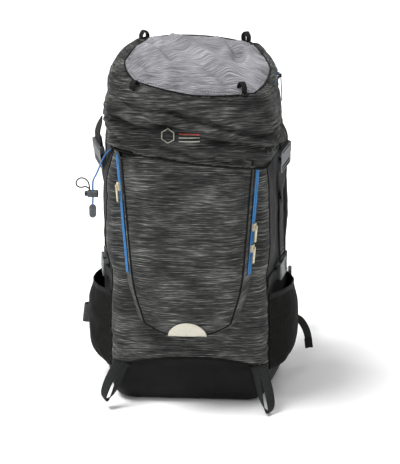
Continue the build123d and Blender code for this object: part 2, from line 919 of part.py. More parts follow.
clip_plane = sternum_plane.offset(sternum_clip_thickness / 2)
from_start = (Align.CENTER, Align.MIN, Align.CENTER)
with BuildPart() as sternum_socket:
    with Locations((0, clip_start, 0)):
        Box(
            sternum_clip_width,
            sternum_clip_body + sternum_prong_length + 1,
            sternum_clip_thickness,
            align=from_start,
        )
    fillet(sternum_socket.edges().filter_by(Axis.Z), 3)
    with Locations((0, clip_start + sternum_clip_body, 0)):
        Box(13, sternum_prong_length + 1.2, 3.2, align=from_start, mode=Mode.SUBTRACT)
save(put(sternum_socket.part, clip_plane).mirror(Plane.YZ), "sternum_socket")
with BuildPart() as sternum_plug:
    with Locations((0, clip_start, 0)):
        Box(sternum_clip_width, sternum_clip_body, sternum_clip_thickness, align=from_start)
    fillet(sternum_plug.edges().filter_by(Axis.Z), 3)
    for x in (-4.2, 0, 4.2):
        with Locations((x, clip_start + sternum_clip_body, 0)):
            Box(2.6, sternum_prong_length, 2.4, align=from_start)
save(put(sternum_plug.part, clip_plane), "sternum_plug")

# ---------------------------------------------------------------- haul handle

with BuildPart() as haul_handle:
    with BuildLine(Plane.XY.offset(handle_z)) as bail:
        FilletPolyline(
            (-handle_half - 8, handle_y),
            (-handle_half + 14, handle_y),
            (-handle_half / 2, handle_y + handle_reach),
            (handle_half / 2, handle_y + handle_reach),
            (handle_half - 14, handle_y),
            (handle_half + 8, handle_y),
            radius=14.0,
        )
    with BuildSketch(Plane(origin=bail.line @ 0, z_dir=bail.line % 0)):
        Circle(handle_radius)
    sweep()
save(haul_handle.part, "haul_handle")

anchor_ring = handle_radius + anchor_clearance
with BuildPart() as haul_anchor:
    with BuildSketch(Plane.YZ.offset(handle_half)):
        with Locations((handle_y, handle_z)):
            Circle(anchor_ring + 2)
        with Locations(((half_depth + handle_y) / 2, handle_z)):
            Rectangle(handle_y - half_depth, 2 * (anchor_ring + 2))
        with Locations((handle_y, handle_z)):
            Circle(anchor_ring, mode=Mode.SUBTRACT)
    extrude(amount=anchor_width / 2, both=True)
save_both(haul_anchor.part, "haul_anchors")

# ---------------------------------------------------------------- hip belt

wing_plane = Plane.XY.offset((wing_low + wing_high) / 2)
hip_wing = strip(
    wing_plane,
    wing_path,
    wing_bend,
    wing_high - wing_low,
    wing_thickness,
)
save_pair(hip_wing, "hip_wing")
belt_corner = Vector(*belt_turn, (wing_low + wing_high) / 2)
belt_out = Vector(0, 1, 0)
belt_outer_side = belt_out.cross(Vector(0, 0, 1))


def belt_webbing(length):
    """Belt webbing on the right: a short lead from the wing, then straight along belt_out."""
    tip = belt_corner + belt_out * length
    return strip(
        wing_plane,
        (belt_start, belt_turn, (tip.X, tip.Y)),
        10.0,
        belt_webbing_width,
        belt_webbing_thickness,
    )


def belt_clip_plane(place, mouth_direction):
    """X up, Y towards mouth_direction and Z out of the face, for a clip at place."""
    return Plane(
        origin=place, x_dir=(0, 0, 1), z_dir=Vector(0, 0, 1).cross(mouth_direction)
    )


save(belt_webbing(belt_plug_run), "right_belt_webbing")
save(belt_webbing(belt_socket_run).mirror(Plane.YZ), "left_belt_webbing")
plug_lift = buckle_thickness / 2 + belt_webbing_thickness / 2
plug_mouth = belt_corner + belt_out * (belt_plug_run - 2) + belt_outer_side * plug_lift
save(put(buckle_plug(belt_webbing_width), belt_clip_plane(plug_mouth, belt_out)), "belt_plug")
socket_mouth = belt_corner + belt_out * (belt_socket_run + buckle_reach + fabric_gap)
belt_socket = put(buckle_socket(belt_webbing_width), belt_clip_plane(socket_mouth, -belt_out))
save(belt_socket.mirror(Plane.YZ), "belt_socket")

left_fold = strip(
    Plane.XY.offset(stabiliser_fold_z),
    stabiliser_fold_path,
    3.5,
    belt_webbing_width,
    webbing_thickness,
).mirror(Plane.YZ)
with BuildPart() as right_tail:
    with BuildSketch(Plane.XZ.offset(-stabiliser_tail_y)):
        with BuildLine():
            FilletPolyline(*stabiliser_tail_path, radius=20.0)
        trace(line_width=stabiliser_width)
    extrude(amount=webbing_thickness)
save(join(side_webbing, left_fold, right_tail.part), "side_webbing")

# ---------------------------------------------------------------- webbing loops at the foot


def foot_loop(top, foot, turn):
    """A hanging loop of webbing from top to foot, turned about its length by turn degrees."""
    length = (top - foot).length
    across = Vector(1, 0, 0).rotate(Axis.Z, -turn)
    plane = Plane(origin=top, x_dir=across, z_dir=across.cross(top - foot))
    plane = Plane(origin=top, x_dir=(top - foot).cross(plane.z_dir), z_dir=plane.z_dir)
    return strip(
        plane,
        (
            (-5.5, 0.0),
            (-9.0, -0.6 * length),
            (-5.0, -length),
            (5.0, -length),
            (9.0, -0.6 * length),
            (5.5, 0.0),
        ),
        5.0,
        loop_webbing_width,
        webbing_thickness,
    )


save(foot_loop(right_loop_top, right_loop_foot, loop_turn), "right_foot_loop")
save(foot_loop(left_loop_top, left_loop_foot, -loop_turn), "left_foot_loop")

# ---------------------------------------------------------------- cord, bungee and cord lock

lock_plane = Plane(origin=cord_lock_place, x_dir=(0, 1, 0), z_dir=(-1, 0, 0))
cord_hole = cord_radius + cord_hole_clearance
with BuildPart() as cord_lock_body:
    with Locations((0, 0, 0)):
        Cylinder(cord_lock_radius, cord_lock_length)
    fillet(cord_lock_body.edges().filter_by(GeomType.CIRCLE), 1.0)
    with Locations((0, 0, cord_lock_length / 2)):
        Cylinder(
            plunger_radius + plunger_clearance,
            plunger_depth,
            align=(Align.CENTER, Align.CENTER, Align.MAX),
            mode=Mode.SUBTRACT,
        )
    with Locations(Location((0, 0, 0), (90, 0, 0))):
        Cylinder(cord_hole, 2 * cord_lock_radius + 2, mode=Mode.SUBTRACT)
save(put(cord_lock_body.part, lock_plane), "cord_lock_body")

with BuildPart() as cord_lock_plunger:
    top_of_plunger = cord_lock_length / 2 + plunger_travel + 1.0
    bottom_of_plunger = cord_lock_length / 2 - plunger_depth + plunger_travel + 1.0
    with Locations((0, 0, bottom_of_plunger)):
        Cylinder(
            plunger_radius,
            top_of_plunger - bottom_of_plunger,
            align=(Align.CENTER, Align.CENTER, Align.MIN),
        )
    chamfer(cord_lock_plunger.faces().sort_by(Axis.Z)[-1].edges(), 0.8)
    slot_length = 2 * cord_hole + 2 * plunger_travel
    with Locations((0, 0, 0)):
        Box(2 * cord_hole, 4 * plunger_radius, slot_length, mode=Mode.SUBTRACT)
save(put(cord_lock_plunger.part, lock_plane), "cord_lock_plunger")


def turn_between(before, corner, after):
    return (corner - before).get_angle(after - corner)


def cord_tube(points, radius):
    """Tube along a route. Each corner is rounded as widely as the shorter run beside it allows."""
    corners = [Vector(*point) for point in points]
    radii = []
    for before, corner, after in zip(corners, corners[1:], corners[2:]):
        run = min((corner - before).length, (after - corner).length)
        half_turn = turn_between(before, corner, after) / 2
        radii.append(0.45 * run / tan(radians(half_turn)))
    with BuildPart() as tube:
        with BuildLine() as route:
            FilletPolyline(*points, radius=radii)
        with BuildSketch(Plane(origin=route.line @ 0, z_dir=route.line % 0)):
            Circle(radius)
        sweep(path=route.line)
    return tube.part


tie_cord_route = (
    (-131.2, -58.0, 452.0),
    (-140.0, -60.0, 449.0),
    (-151.0, -60.0, 428.0),
    (-160.0, -52.0, 405.0),
    (-168.0, -40.0, 390.0),
    (-170.0, -32.0, 379.0),
    (-170.0, -32.0, 349.0),
    (-171.0, -31.5, 342.0),
)
save(cord_tube(tie_cord_route, cord_radius), "tie_cord")

bungee_route = (
    (-175.0, -35.0, 368.2),
    (-175.0, -35.0, 378.0),
    (-179.0, -35.0, 388.0),
    (-189.0, -34.0, 392.0),
    (-198.0, -33.0, 386.0),
    (-199.0, -31.0, 376.0),
    (-191.0, -29.0, 371.0),
    (-181.0, -29.0, 375.0),
    (-175.0, -29.0, 368.2),
)
save(cord_tube(bungee_route, bungee_radius), "bungee_loop")

with BuildPart() as cord_tag:
    with BuildSketch(Plane(origin=cord_tag_top, x_dir=(1, 0, 0), z_dir=(0, -1, 0))):
        with Locations((0, -cord_tag_length / 2)):
            SlotOverall(cord_tag_length, cord_tag_width, rotation=90)
    extrude(amount=cord_tag_thickness / 2, both=True)
save(cord_tag.part, "cord_tag")
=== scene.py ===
import math

import bpy
import numpy as np
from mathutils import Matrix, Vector, noise


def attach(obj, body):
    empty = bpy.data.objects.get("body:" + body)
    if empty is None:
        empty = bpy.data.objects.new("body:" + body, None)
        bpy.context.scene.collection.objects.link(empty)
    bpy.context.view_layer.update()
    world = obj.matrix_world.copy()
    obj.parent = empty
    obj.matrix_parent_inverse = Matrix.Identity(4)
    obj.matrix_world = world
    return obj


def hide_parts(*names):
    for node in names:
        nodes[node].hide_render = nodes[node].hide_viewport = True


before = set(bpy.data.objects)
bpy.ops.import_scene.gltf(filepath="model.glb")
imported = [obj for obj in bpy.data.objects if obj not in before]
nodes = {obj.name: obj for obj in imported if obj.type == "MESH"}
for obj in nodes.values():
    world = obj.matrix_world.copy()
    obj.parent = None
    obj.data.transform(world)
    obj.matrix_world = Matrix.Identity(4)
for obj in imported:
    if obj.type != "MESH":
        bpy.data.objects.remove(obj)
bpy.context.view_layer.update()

print("frame loaded")

mm = 0.001
bpy.context.scene.view_settings.view_transform = "Standard"

# camera, floor and light

viewpoint = dict(azimuth=3.5, elevation=20.0, distance=3.0, lens=133.0, aim=(0.013, 0.0, 0.284))


def placeCamera():
    azimuth = math.radians(viewpoint["azimuth"])
    elevation = math.radians(viewpoint["elevation"])
    aim = Vector(viewpoint["aim"])
    level = math.cos(elevation)
    away = Vector((math.sin(azimuth) * level, -math.cos(azimuth) * level, math.sin(elevation)))
    camera = bpy.data.objects.new("camera", bpy.data.cameras.new("camera"))
    camera.data.lens = viewpoint["lens"]
    camera.location = aim + away * viewpoint["distance"]
    camera.rotation_euler = (-away).to_track_quat("-Z", "Y").to_euler()
    bpy.context.collection.objects.link(camera)
    bpy.context.scene.camera = camera


upward = Vector((0, 0, 1))
frontOut = Vector((0, -1, 0))


def softLight(name, place, size, power, target=(0, 0, 0.3)):
    light = bpy.data.lights.new(name, "AREA")
    light.shape = "DISK"
    light.size = size
    light.energy = power
    lamp = bpy.data.objects.new(name, light)
    lamp.location = place
    lamp.rotation_euler = (Vector(target) - Vector(place)).to_track_quat("-Z", "Y").to_euler()
    bpy.context.collection.objects.link(lamp)


# materials


# one sRGB hex value to linear red, green, blue, alpha
def linear(code):
    values = [int(code[i : i + 2], 16) / 255 for i in (1, 3, 5)]
    return [v / 12.92 if v <= 0.04045 else ((v + 0.055) / 1.055) ** 2.4 for v in values] + [1.0]


# adds a shader node, sets its properties and sockets and links what feeds it
def addNode(tree, kind, links=None, inputs=None, **settings):
    node = tree.nodes.new("ShaderNode" + kind)
    for key, value in settings.items():
        setattr(node, key, value)
    for key, value in (inputs or {}).items():
        node.inputs[key].default_value = value
    for key, source in (links or {}).items():
        tree.links.new(source, node.inputs[key])
    return node


def newMaterial(name, roughness, sockets=None):
    material = bpy.data.materials.new(name)
    material.use_nodes = True
    tree = material.node_tree
    shader = tree.nodes["Principled BSDF"]
    shader.inputs["Roughness"].default_value = roughness
    for key, value in (sockets or {}).items():
        shader.inputs[key].default_value = value
    return material, tree, shader


def colourSteps(tree, source, steps):
    ramp = addNode(tree, "ValToRGB", links={"Fac": source})
    stops = ramp.color_ramp.elements
    while len(stops) < len(steps):
        stops.new(0.5)
    for stop, (place, code) in zip(stops, steps):
        stop.position = place
        stop.color = linear(code)
    return ramp.outputs["Color"]


# noise whose grain is spacing = (x, y, z) in millimetres
def noiseAt(tree, coordinates, spacing, detail=3.0, roughness=0.55):
    mapping = addNode(
        tree, "Mapping", links={"Vector": coordinates}, inputs={"Scale": [1000 / s for s in spacing]}
    )
    grain = addNode(
        tree,
        "TexNoise",
        links={"Vector": mapping.outputs["Vector"]},
        inputs={"Scale": 1.0, "Detail": detail, "Roughness": roughness},
    )
    return grain.outputs["Fac"]


def raiseRelief(tree, shader, height, depth, strength=1.0, under=None):
    bump = addNode(tree, "Bump", links={"Height": height}, inputs={"Distance": depth * mm, "Strength": strength})
    if under:
        tree.links.new(under, bump.inputs["Normal"])
    tree.links.new(bump.outputs["Normal"], shader.inputs["Normal"])
    return bump.outputs["Normal"]


def mathNode(tree, operation, first, second):
    node = addNode(tree, "Math", operation=operation)
    for socket, value in zip(node.inputs, (first, second)):
        if isinstance(value, (int, float)):
            socket.default_value = value
        else:
            tree.links.new(value, socket)
    return node.outputs["Value"]


def heatherPolyester(name, steps, streakAxes, sheen=0.05, laidFlat=False):
    # melange polyester, woven from dark and light filaments: short pale streaks along the weft
    material, tree, shader = newMaterial(
        name, 0.82, {"Sheen Weight": sheen, "Sheen Roughness": 0.45, "Specular IOR Level": 0.12}
    )
    if laidFlat:
        # keeps the weft straight over creases
        place = addNode(tree, "Attribute", attribute_name="lay").outputs["Vector"]
    else:
        place = addNode(tree, "TexCoord").outputs["Object"]
    long = noiseAt(tree, place, streakAxes(48.0, 1.35), 3.0, 0.5)
    short = noiseAt(tree, place, streakAxes(15.0, 0.9), 2.0, 0.5)
    cloud = noiseAt(tree, place, (70, 70, 40), 2.0, 0.5)
    mix = mathNode(tree, "ADD", mathNode(tree, "MULTIPLY", long, 0.62), mathNode(tree, "MULTIPLY", short, 0.38))
    mix = mathNode(tree, "ADD", mix, mathNode(tree, "MULTIPLY", mathNode(tree, "SUBTRACT", cloud, 0.5), 0.30))
    tree.links.new(colourSteps(tree, mix, steps), shader.inputs["Base Color"])
    weave = noiseAt(tree, place, streakAxes(2.4, 1.2), 1.0, 0.5)   # thread relief, drawn coarse enough to show
    crease = noiseAt(tree, place, (34, 34, 22), 4.0, 0.6)
    soft = raiseRelief(tree, shader, crease, 1.6, 0.55)
    raiseRelief(tree, shader, weave, 0.35, 0.5, soft)
    return material


def coatedNylon(name, steps, rough=0.62):
    # black ripstop packcloth with a coated back, drawn as an even, slightly glossy weave
    material, tree, shader = newMaterial(name, rough, {"Specular IOR Level": 0.16})
    place = addNode(tree, "TexCoord").outputs["Object"]
    cloud = noiseAt(tree, place, (24, 24, 24), 4.0, 0.6)
    tree.links.new(colourSteps(tree, cloud, steps), shader.inputs["Base Color"])
    crease = noiseAt(tree, place, (40, 40, 18), 4.0, 0.6)
    soft = raiseRelief(tree, shader, crease, 1.4, 0.5)
    weave = noiseAt(tree, place, (1.6, 1.6, 1.6), 1.0, 0.5)
    raiseRelief(tree, shader, weave, 0.3, 0.5, soft)
    return material


def cellCloth(name, dark, light, cell, depth, rough=0.85):
    # knitted mesh: round holes in a hexagonal ground, dark inside and paler on the threads
    material, tree, shader = newMaterial(name, rough, {"Specular IOR Level": 0.1})
    place = addNode(tree, "TexCoord").outputs["Object"]
    cells = addNode(
        tree, "TexVoronoi", links={"Vector": place}, inputs={"Scale": 1000 / cell, "Randomness": 0.35}
    ).outputs["Distance"]
    tree.links.new(colourSteps(tree, cells, ((0.22, dark), (0.5, light))), shader.inputs["Base Color"])
    raiseRelief(tree, shader, cells, depth, 0.9)
    return material


def wovenWebbing(name, dark, light, rib=2.2, rough=0.7):
    # polypropylene webbing: crosswise ribs and a herringbone of warp threads
    material, tree, shader = newMaterial(name, rough, {"Specular IOR Level": 0.15})
    lay = addNode(tree, "Attribute", attribute_name="lay").outputs["Vector"]
    split = addNode(tree, "SeparateXYZ", links={"Vector": lay})
    across, along = split.outputs["X"], split.outputs["Y"]
    zigzag = mathNode(tree, "PINGPONG", mathNode(tree, "MULTIPLY", across, 1000.0), 2.5)
    phase = mathNode(tree, "ADD", mathNode(tree, "MULTIPLY", along, 2000 * math.pi / rib), zigzag)
    ribs = mathNode(tree, "SINE", phase, 0.0)
    grain = noiseAt(tree, lay, (1.2, 5, 5), 3.0, 0.6)
    mix = mathNode(tree, "ADD", mathNode(tree, "MULTIPLY", ribs, 0.16), grain)
    tree.links.new(colourSteps(tree, mix, ((0.28, dark), (0.72, light))), shader.inputs["Base Color"])
    raiseRelief(tree, shader, ribs, 0.35, 0.6)
    return material


def mouldedPlastic(name, code, pale, rough=0.42):
    # injection-moulded acetal: satin, faintly mottled, rubbed a little paler
    material, tree, shader = newMaterial(name, rough, {"Specular IOR Level": 0.35})
    place = addNode(tree, "TexCoord").outputs["Object"]
    mottle = noiseAt(tree, place, (9, 9, 9), 4.0, 0.65)
    tree.links.new(colourSteps(tree, mottle, ((0.35, code), (0.75, pale))), shader.inputs["Base Color"])
    spark = noiseAt(tree, place, (0.9, 0.9, 0.9), 2.0, 0.5)
    raiseRelief(tree, shader, spark, 0.08, 0.5)
    return material


def braidedCord(name, dark, light, pitch=3.0):
    # braided sheath: diagonal strands that cross round the cord
    material, tree, shader = newMaterial(name, 0.6, {"Sheen Weight": 0.3})
    place = addNode(tree, "TexCoord").outputs["Object"]
    strands = addNode(
        tree, "TexVoronoi", links={"Vector": place}, inputs={"Scale": 1000 / pitch, "Randomness": 0.3}
    ).outputs["Distance"]
    tree.links.new(colourSteps(tree, strands, ((0.1, light), (0.6, dark))), shader.inputs["Base Color"])
    raiseRelief(tree, shader, strands, 0.4, 0.7)
    return material


def glassBeadFilm(name, code, pale):
    # retroreflective transfer: pale grey film of glass beads, softly metallic
    material, tree, shader = newMaterial(name, 0.38, {"Metallic": 0.25, "Specular IOR Level": 0.6})
    place = addNode(tree, "TexCoord").outputs["Object"]
    grain = noiseAt(tree, place, (1.4, 1.4, 1.4), 2.0, 0.6)
    tree.links.new(colourSteps(tree, grain, ((0.3, code), (0.7, pale))), shader.inputs["Base Color"])
    raiseRelief(tree, shader, grain, 0.1, 0.4)
    return material


def rolledAluminium(name):
    # flat bar as rolled: fine lines along its length
    material, tree, shader = newMaterial(name, 0.35, {"Metallic": 1.0})
    place = addNode(tree, "TexCoord").outputs["Object"]
    lines = noiseAt(tree, place, (1.5, 1.5, 60), 3.0, 0.6)
    tree.links.new(colourSteps(tree, lines, ((0.3, "#9a9ca0"), (0.7, "#c4c6ca"))), shader.inputs["Base Color"])
    raiseRelief(tree, shader, lines, 0.05, 0.4)
    return material


def paintedFloor():
    # matt white studio board
    material, tree, shader = newMaterial("matt studio board", 0.9)
    place = addNode(tree, "TexCoord").outputs["Object"]
    mottle = noiseAt(tree, place, (400, 400, 400), 2.0, 0.5)
    tree.links.new(colourSteps(tree, mottle, ((0.2, "#fbfbfb"), (0.8, "#ffffff"))), shader.inputs["Base Color"])
    return material


def frontStreaks(long, thin):
    return (long, long, thin)


def topStreaks(long, thin):
    return (long, thin, long)


heather = heatherPolyester(
    "woven melange polyester",
    ((0.33, "#121312"), (0.46, "#2d2e2d"), (0.56, "#4c4d4b"), (0.67, "#8b8c88")),
    frontStreaks,
)
# painted shade: the lid wall takes a darker copy of the lid fabric, for the shade on the lid's sides below the lit
# crown
shadedLidWallHeather = heatherPolyester(
    "melange polyester, lid wall, painted darker for shade",
    ((0.33, "#0e0f0e"), (0.46, "#252625"), (0.56, "#40413f"), (0.68, "#737470")),
    frontStreaks,
)
# painted shade: the side panels take a near-black copy of the front's heather, for the shade on the sides
shadedSideHeather = heatherPolyester(
    "melange polyester, side panels, painted darker for shade",
    ((0.33, "#050605"), (0.48, "#111211"), (0.58, "#1e1f1e"), (0.70, "#323331")),
    frontStreaks,
)
# painted light: the crown takes a paler copy of the lid fabric, for the light that falls on the top
litCrownHeather = heatherPolyester(
    "melange polyester, crown, painted paler for top light",
    ((0.32, "#474649"), (0.45, "#6f6e72"), (0.56, "#908f94"), (0.68, "#bbbabf")),
    topStreaks,
    laidFlat=True,
)
packcloth = coatedNylon("coated nylon packcloth", ((0.3, "#030403"), (0.7, "#0b0c0b")))
liner = coatedNylon("thin coated nylon lining", ((0.3, "#2b2c2e"), (0.7, "#3d3e40")), 0.5)
binding = wovenWebbing("woven binding tape", "#070807", "#1b1c1b", 1.6)
pocketMesh = cellCloth("knitted pocket mesh", "#020302", "#191a18", 2.6, 0.7)
spacerMesh = cellCloth("spacer air mesh over foam", "#0a0a0b", "#2e2f31", 3.6, 1.0)
webbing = wovenWebbing("woven polypropylene webbing", "#151716", "#303331")
blackWebbing = wovenWebbing("black polypropylene webbing", "#0a0b0a", "#232423")
greyWebbing = wovenWebbing("grey polypropylene webbing", "#2c2e2d", "#555856")
blueTape = wovenWebbing("woven blue zip tape", "#25639c", "#4f97d6", 1.4)
blueCoil = mouldedPlastic("nylon zip coil", "#2f74b4", "#5aa2de", 0.4)
blueCord = braidedCord("blue braided cord", "#1f5a96", "#4a94d8")
blackCord = braidedCord("black elastic cord", "#050505", "#1d1d1d")
greyAcetal = mouldedPlastic("moulded grey acetal", "#3a3d3f", "#56595b")
blackAcetal = mouldedPlastic("moulded black acetal", "#111213", "#26282a")
goldEnamel = mouldedPlastic("enamelled zinc slider", "#b9ad84", "#ded7bd", 0.35)
softTag = mouldedPlastic("moulded soft rubber", "#4a4d4f", "#6a6d6e", 0.6)
beadFilm = glassBeadFilm("retroreflective transfer film", "#b8b3a2", "#d8d4c6")
stitchThread = mouldedPlastic("bonded nylon thread", "#2a2b2a", "#4b4c4a", 0.6)
paleThread = mouldedPlastic("pale bonded thread", "#8f8d86", "#b5b3ac", 0.6)
redThread = mouldedPlastic("red embroidery thread", "#8d2c22", "#b8463a", 0.6)
aluminium = rolledAluminium("rolled aluminium bar")
sheetPlastic = mouldedPlastic("extruded polyethylene sheet", "#1d1e20", "#2c2d2f", 0.5)

print("materials made")

# mesh helpers


def makeMesh(name, points, faces, material, lay=None):
    mesh = bpy.data.meshes.new(name)
    mesh.from_pydata([tuple(p) for p in points], [], faces)
    mesh.polygons.foreach_set("use_smooth", [True] * len(mesh.polygons))
    if lay is not None:
        attribute = mesh.attributes.new("lay", "FLOAT_VECTOR", "POINT")
        attribute.data.foreach_set("vector", [c for row in lay for c in row])
    mesh.materials.append(material)
    piece = bpy.data.objects.new(name, mesh)
    bpy.context.collection.objects.link(piece)
    return piece


def gridFaces(rows, columns, closed=False):
    faces = []
    last = columns if closed else columns - 1
    for r in range(rows - 1):
        for c in range(last):
            d = (c + 1) % columns
            faces.append((r * columns + c, r * columns + d, (r + 1) * columns + d, (r + 1) * columns + c))
    return faces


def rimIndices(rows, columns):
    return [r * columns + c for r in range(rows) for c in range(columns) if r in (0, rows - 1) or c in (0, columns - 1)]


def applyModifiers(piece):
    graph = bpy.context.evaluated_depsgraph_get()
    final = bpy.data.meshes.new_from_object(piece.evaluated_get(graph))
    piece.modifiers.clear()
    piece.data = final


def thicken(piece, thickness, subdivide=0, outward=-1.0):
    if subdivide:
        smoothing = piece.modifiers.new("smoothing", "SUBSURF")
        smoothing.levels = smoothing.render_levels = subdivide
    shell = piece.modifiers.new("cloth thickness", "SOLIDIFY")
    shell.thickness = thickness
    shell.offset = outward
    applyModifiers(piece)


# one object out of several, keeping every material
def mergePieces(name, pieces):
    bpy.ops.object.select_all(action="DESELECT")
    for piece in pieces:
        piece.select_set(True)
    bpy.context.view_layer.objects.active = pieces[0]
    bpy.ops.object.join()
    pieces[0].name = name
    return pieces[0]


def ease(value, low, high):
    share = min(1.0, max(0.0, (value - low) / (high - low)))
    return share * share * (3 - 2 * share)


# smooth wrinkle height, about -1 to 1, for a place in metres and a spacing (x, y, z) in mm
def fold(x, y, z, spacing, seed=0.0):
    place = Vector((x * 1000 / spacing[0] + seed, y * 1000 / spacing[1] + seed * 1.7, z * 1000 / spacing[2] - seed))
    return noise.noise(place) + 0.5 * noise.noise(place * 2.1)


# cloth held along its seams: pressure fills it, and grow is the spare cloth that wrinkles
def crumple(piece, sewn, pressure=2.0, grow=0.02, cap=0.008, steps=16, bend=0.5, stiff=8.0):
    before = np.array([v.co for v in piece.data.vertices])
    seam = piece.vertex_groups.new(name="sewn")
    seam.add([int(i) for i in sewn], 1.0, "ADD")
    cloth = piece.modifiers.new("cloth", "CLOTH")
    settings = cloth.settings
    settings.quality = 5
    settings.mass = 0.25
    settings.tension_stiffness = stiff
    settings.compression_stiffness = stiff
    settings.shear_stiffness = stiff * 0.6
    settings.bending_stiffness = bend
    settings.vertex_group_mass = "sewn"
    settings.use_pressure = True
    settings.uniform_pressure_force = pressure
    settings.shrink_min = -grow
    settings.effector_weights.gravity = 0.0
    cloth.collision_settings.use_collision = False
    cloth.point_cache.frame_start = 1
    cloth.point_cache.frame_end = steps
    scene = bpy.context.scene
    for step in range(1, steps + 1):
        scene.frame_set(step)
    graph = bpy.context.evaluated_depsgraph_get()
    moved = np.array([v.co for v in piece.evaluated_get(graph).data.vertices])
    piece.modifiers.clear()
    piece.vertex_groups.clear()
    scene.frame_set(1)
    shift = moved - before
    length = np.linalg.norm(shift, axis=1, keepdims=True)
    shift *= np.minimum(1.0, cap / np.maximum(length, 1e-9))
    piece.data.vertices.foreach_set("co", (before + shift).ravel())
    piece.data.update()


# evenly numbered points on a smooth curve through the given ones
def spline(points, samples, closed=False):
    points = [Vector(p) for p in points]
    count = len(points)
    spans = count if closed else count - 1
    result = []
    total = samples if closed else samples - 1
    for i in range(samples):
        place = i / total * spans
        span = min(int(place), spans - 1)
        t = place - span
        picks = []
        for k in (-1, 0, 1, 2):
            index = (span + k) % count if closed else min(max(span + k, 0), count - 1)
            picks.append(points[index])
        a, b, c, d = picks
        result.append(
            0.5 * ((2 * b) + (c - a) * t + (2 * a - 5 * b + 4 * c - d) * t * t + (3 * b - a - 3 * c + d) * t * t * t)
        )
    return result


# webbing along a route; across is the width's direction, one for all or one for each point
def strap(name, route, across, width, thickness, material, samples=60, closed=False, edge=0.35):
    centres = spline(route, samples, closed)
    sides = spline([across] * len(route) if isinstance(across, Vector) else across, samples, closed)
    profile = []
    half, lift = width / 2, thickness / 2
    rounding = min(lift, half * edge)
    for x, z in ((-1, -1), (-0.5, -1), (0, -1), (0.5, -1), (1, -1), (1, 1), (0.5, 1), (0, 1), (-0.5, 1), (-1, 1)):
        if abs(x) == 1:
            profile.append((x * (half - rounding * 0.4), z * lift * 0.75))
        else:
            profile.append((x * half, z * lift))
    points, lay, run = [], [], 0.0
    for i, (centre, side) in enumerate(zip(centres, sides)):
        ahead = centres[(i + 1) % samples] if closed or i < samples - 1 else centre
        behind = centres[i - 1] if closed or i > 0 else centre
        direction = (ahead - behind).normalized()
        side = (side - direction * side.dot(direction)).normalized()
        up = direction.cross(side)
        if i:
            run += (centre - centres[i - 1]).length
        for x, z in profile:
            points.append(centre + side * x + up * z)
            lay.append((x, run, 0.0))
    ring = len(profile)
    rows = samples + 1 if closed else samples
    if closed:
        points += points[:ring]
        lay += [(x, run, 0.0) for x, _, _ in lay[:ring]]
    faces = gridFaces(rows, ring, closed=True)
    if not closed:
        faces += [tuple(reversed(range(ring))), tuple((samples - 1) * ring + k for k in range(ring))]
    return makeMesh(name, points, faces, material, lay)


def roundTube(name, route, radius, material, samples=60, closed=False, sides=8, flat=1.0):
    centres = spline(route, samples, closed)
    points, lay, run = [], [], 0.0
    up = Vector((0, 0, 1))
    for i, centre in enumerate(centres):
        ahead = centres[(i + 1) % samples] if closed or i < samples - 1 else centre
        behind = centres[i - 1] if closed or i > 0 else centre
        direction = (ahead - behind).normalized()
        side = direction.cross(up)
        side = side.normalized() if side.length > 0.05 else Vector((1, 0, 0))
        top = side.cross(direction).normalized()
        if i:
            run += (centre - centres[i - 1]).length
        for k in range(sides):
            angle = 2 * math.pi * k / sides
            points.append(centre + side * (math.cos(angle) * radius) + top * (math.sin(angle) * radius * flat))
            lay.append((angle * radius, run, 0.0))
    rows = samples + 1 if closed else samples
    if closed:
        points += points[:sides]
        lay += lay[:sides]
    faces = gridFaces(rows, sides, closed=True)
    if not closed:
        faces += [tuple(range(sides)), tuple((samples - 1) * sides + k for k in reversed(range(sides)))]
    return makeMesh(name, points, faces, material, lay)


# a seam of short raised stitches along route, each one a small rounded lozenge
def stitches(name, route, normals, material, pitch=4.0 * mm, length=2.6 * mm, radius=0.45 * mm, closed=False):
    total = sum((Vector(b) - Vector(a)).length for a, b in zip(route, route[1:]))
    count = max(2, int(total / pitch))
    centres = spline(route, count, closed)
    outs = spline([normals] * len(route) if isinstance(normals, Vector) else normals, count, closed)
    points, faces = [], []
    for i in range(count - 1):
        direction = (centres[i + 1] - centres[i]).normalized()
        out = (outs[i] - direction * outs[i].dot(direction)).normalized()
        side = direction.cross(out)
        middle = (centres[i] + centres[i + 1]) / 2 + out * radius * 0.4
        base = len(points)
        for along, size in ((-0.5, 0.35), (-0.25, 1.0), (0.25, 1.0), (0.5, 0.35)):
            for k in range(5):
                angle = 2 * math.pi * k / 5
                points.append(
                    middle
                    + direction * length * along
                    + side * math.cos(angle) * radius * size
                    + out * math.sin(angle) * radius * size
                )
        for ring in range(3):
            for k in range(5):
                a = base + ring * 5 + k
                b = base + ring * 5 + (k + 1) % 5
                faces.append((a, b, b + 5, a + 5))
        faces.append(tuple(base + k for k in reversed(range(5))))
        faces.append(tuple(base + 15 + k for k in range(5)))
    return makeMesh(name, points, faces, material)


def finishPiece(piece, body, slot, *replaced):
    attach(piece, body)
    if replaced:
        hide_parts(*replaced)
    return piece


# camera and cords first

placeCamera()
bpy.ops.mesh.primitive_grid_add(x_subdivisions=2, y_subdivisions=2, size=120)
floor = bpy.context.object
floor.name = "studio_floor"
floor.data.materials.append(paintedFloor())
world = bpy.data.worlds.new("studio")
world.use_nodes = True
world.node_tree.nodes["Background"].inputs["Color"].default_value = linear("#ffffff")
world.node_tree.nodes["Background"].inputs["Strength"].default_value = 0.55
bpy.context.scene.world = world
sky = bpy.data.lights.new("ceiling light", "SUN")
sky.energy = 3.0
sky.angle = math.radians(24)
ceiling = bpy.data.objects.new("ceiling light", sky)
ceiling.rotation_euler = Vector((0.42, 0.14, -1.0)).to_track_quat("-Z", "Y").to_euler()
bpy.context.collection.objects.link(ceiling)
softLight("front softbox", (-2.0, -2.2, 1.6), 1.0, 12)
softLight("rear softbox", (1.2, 2.0, 2.2), 1.4, 16)

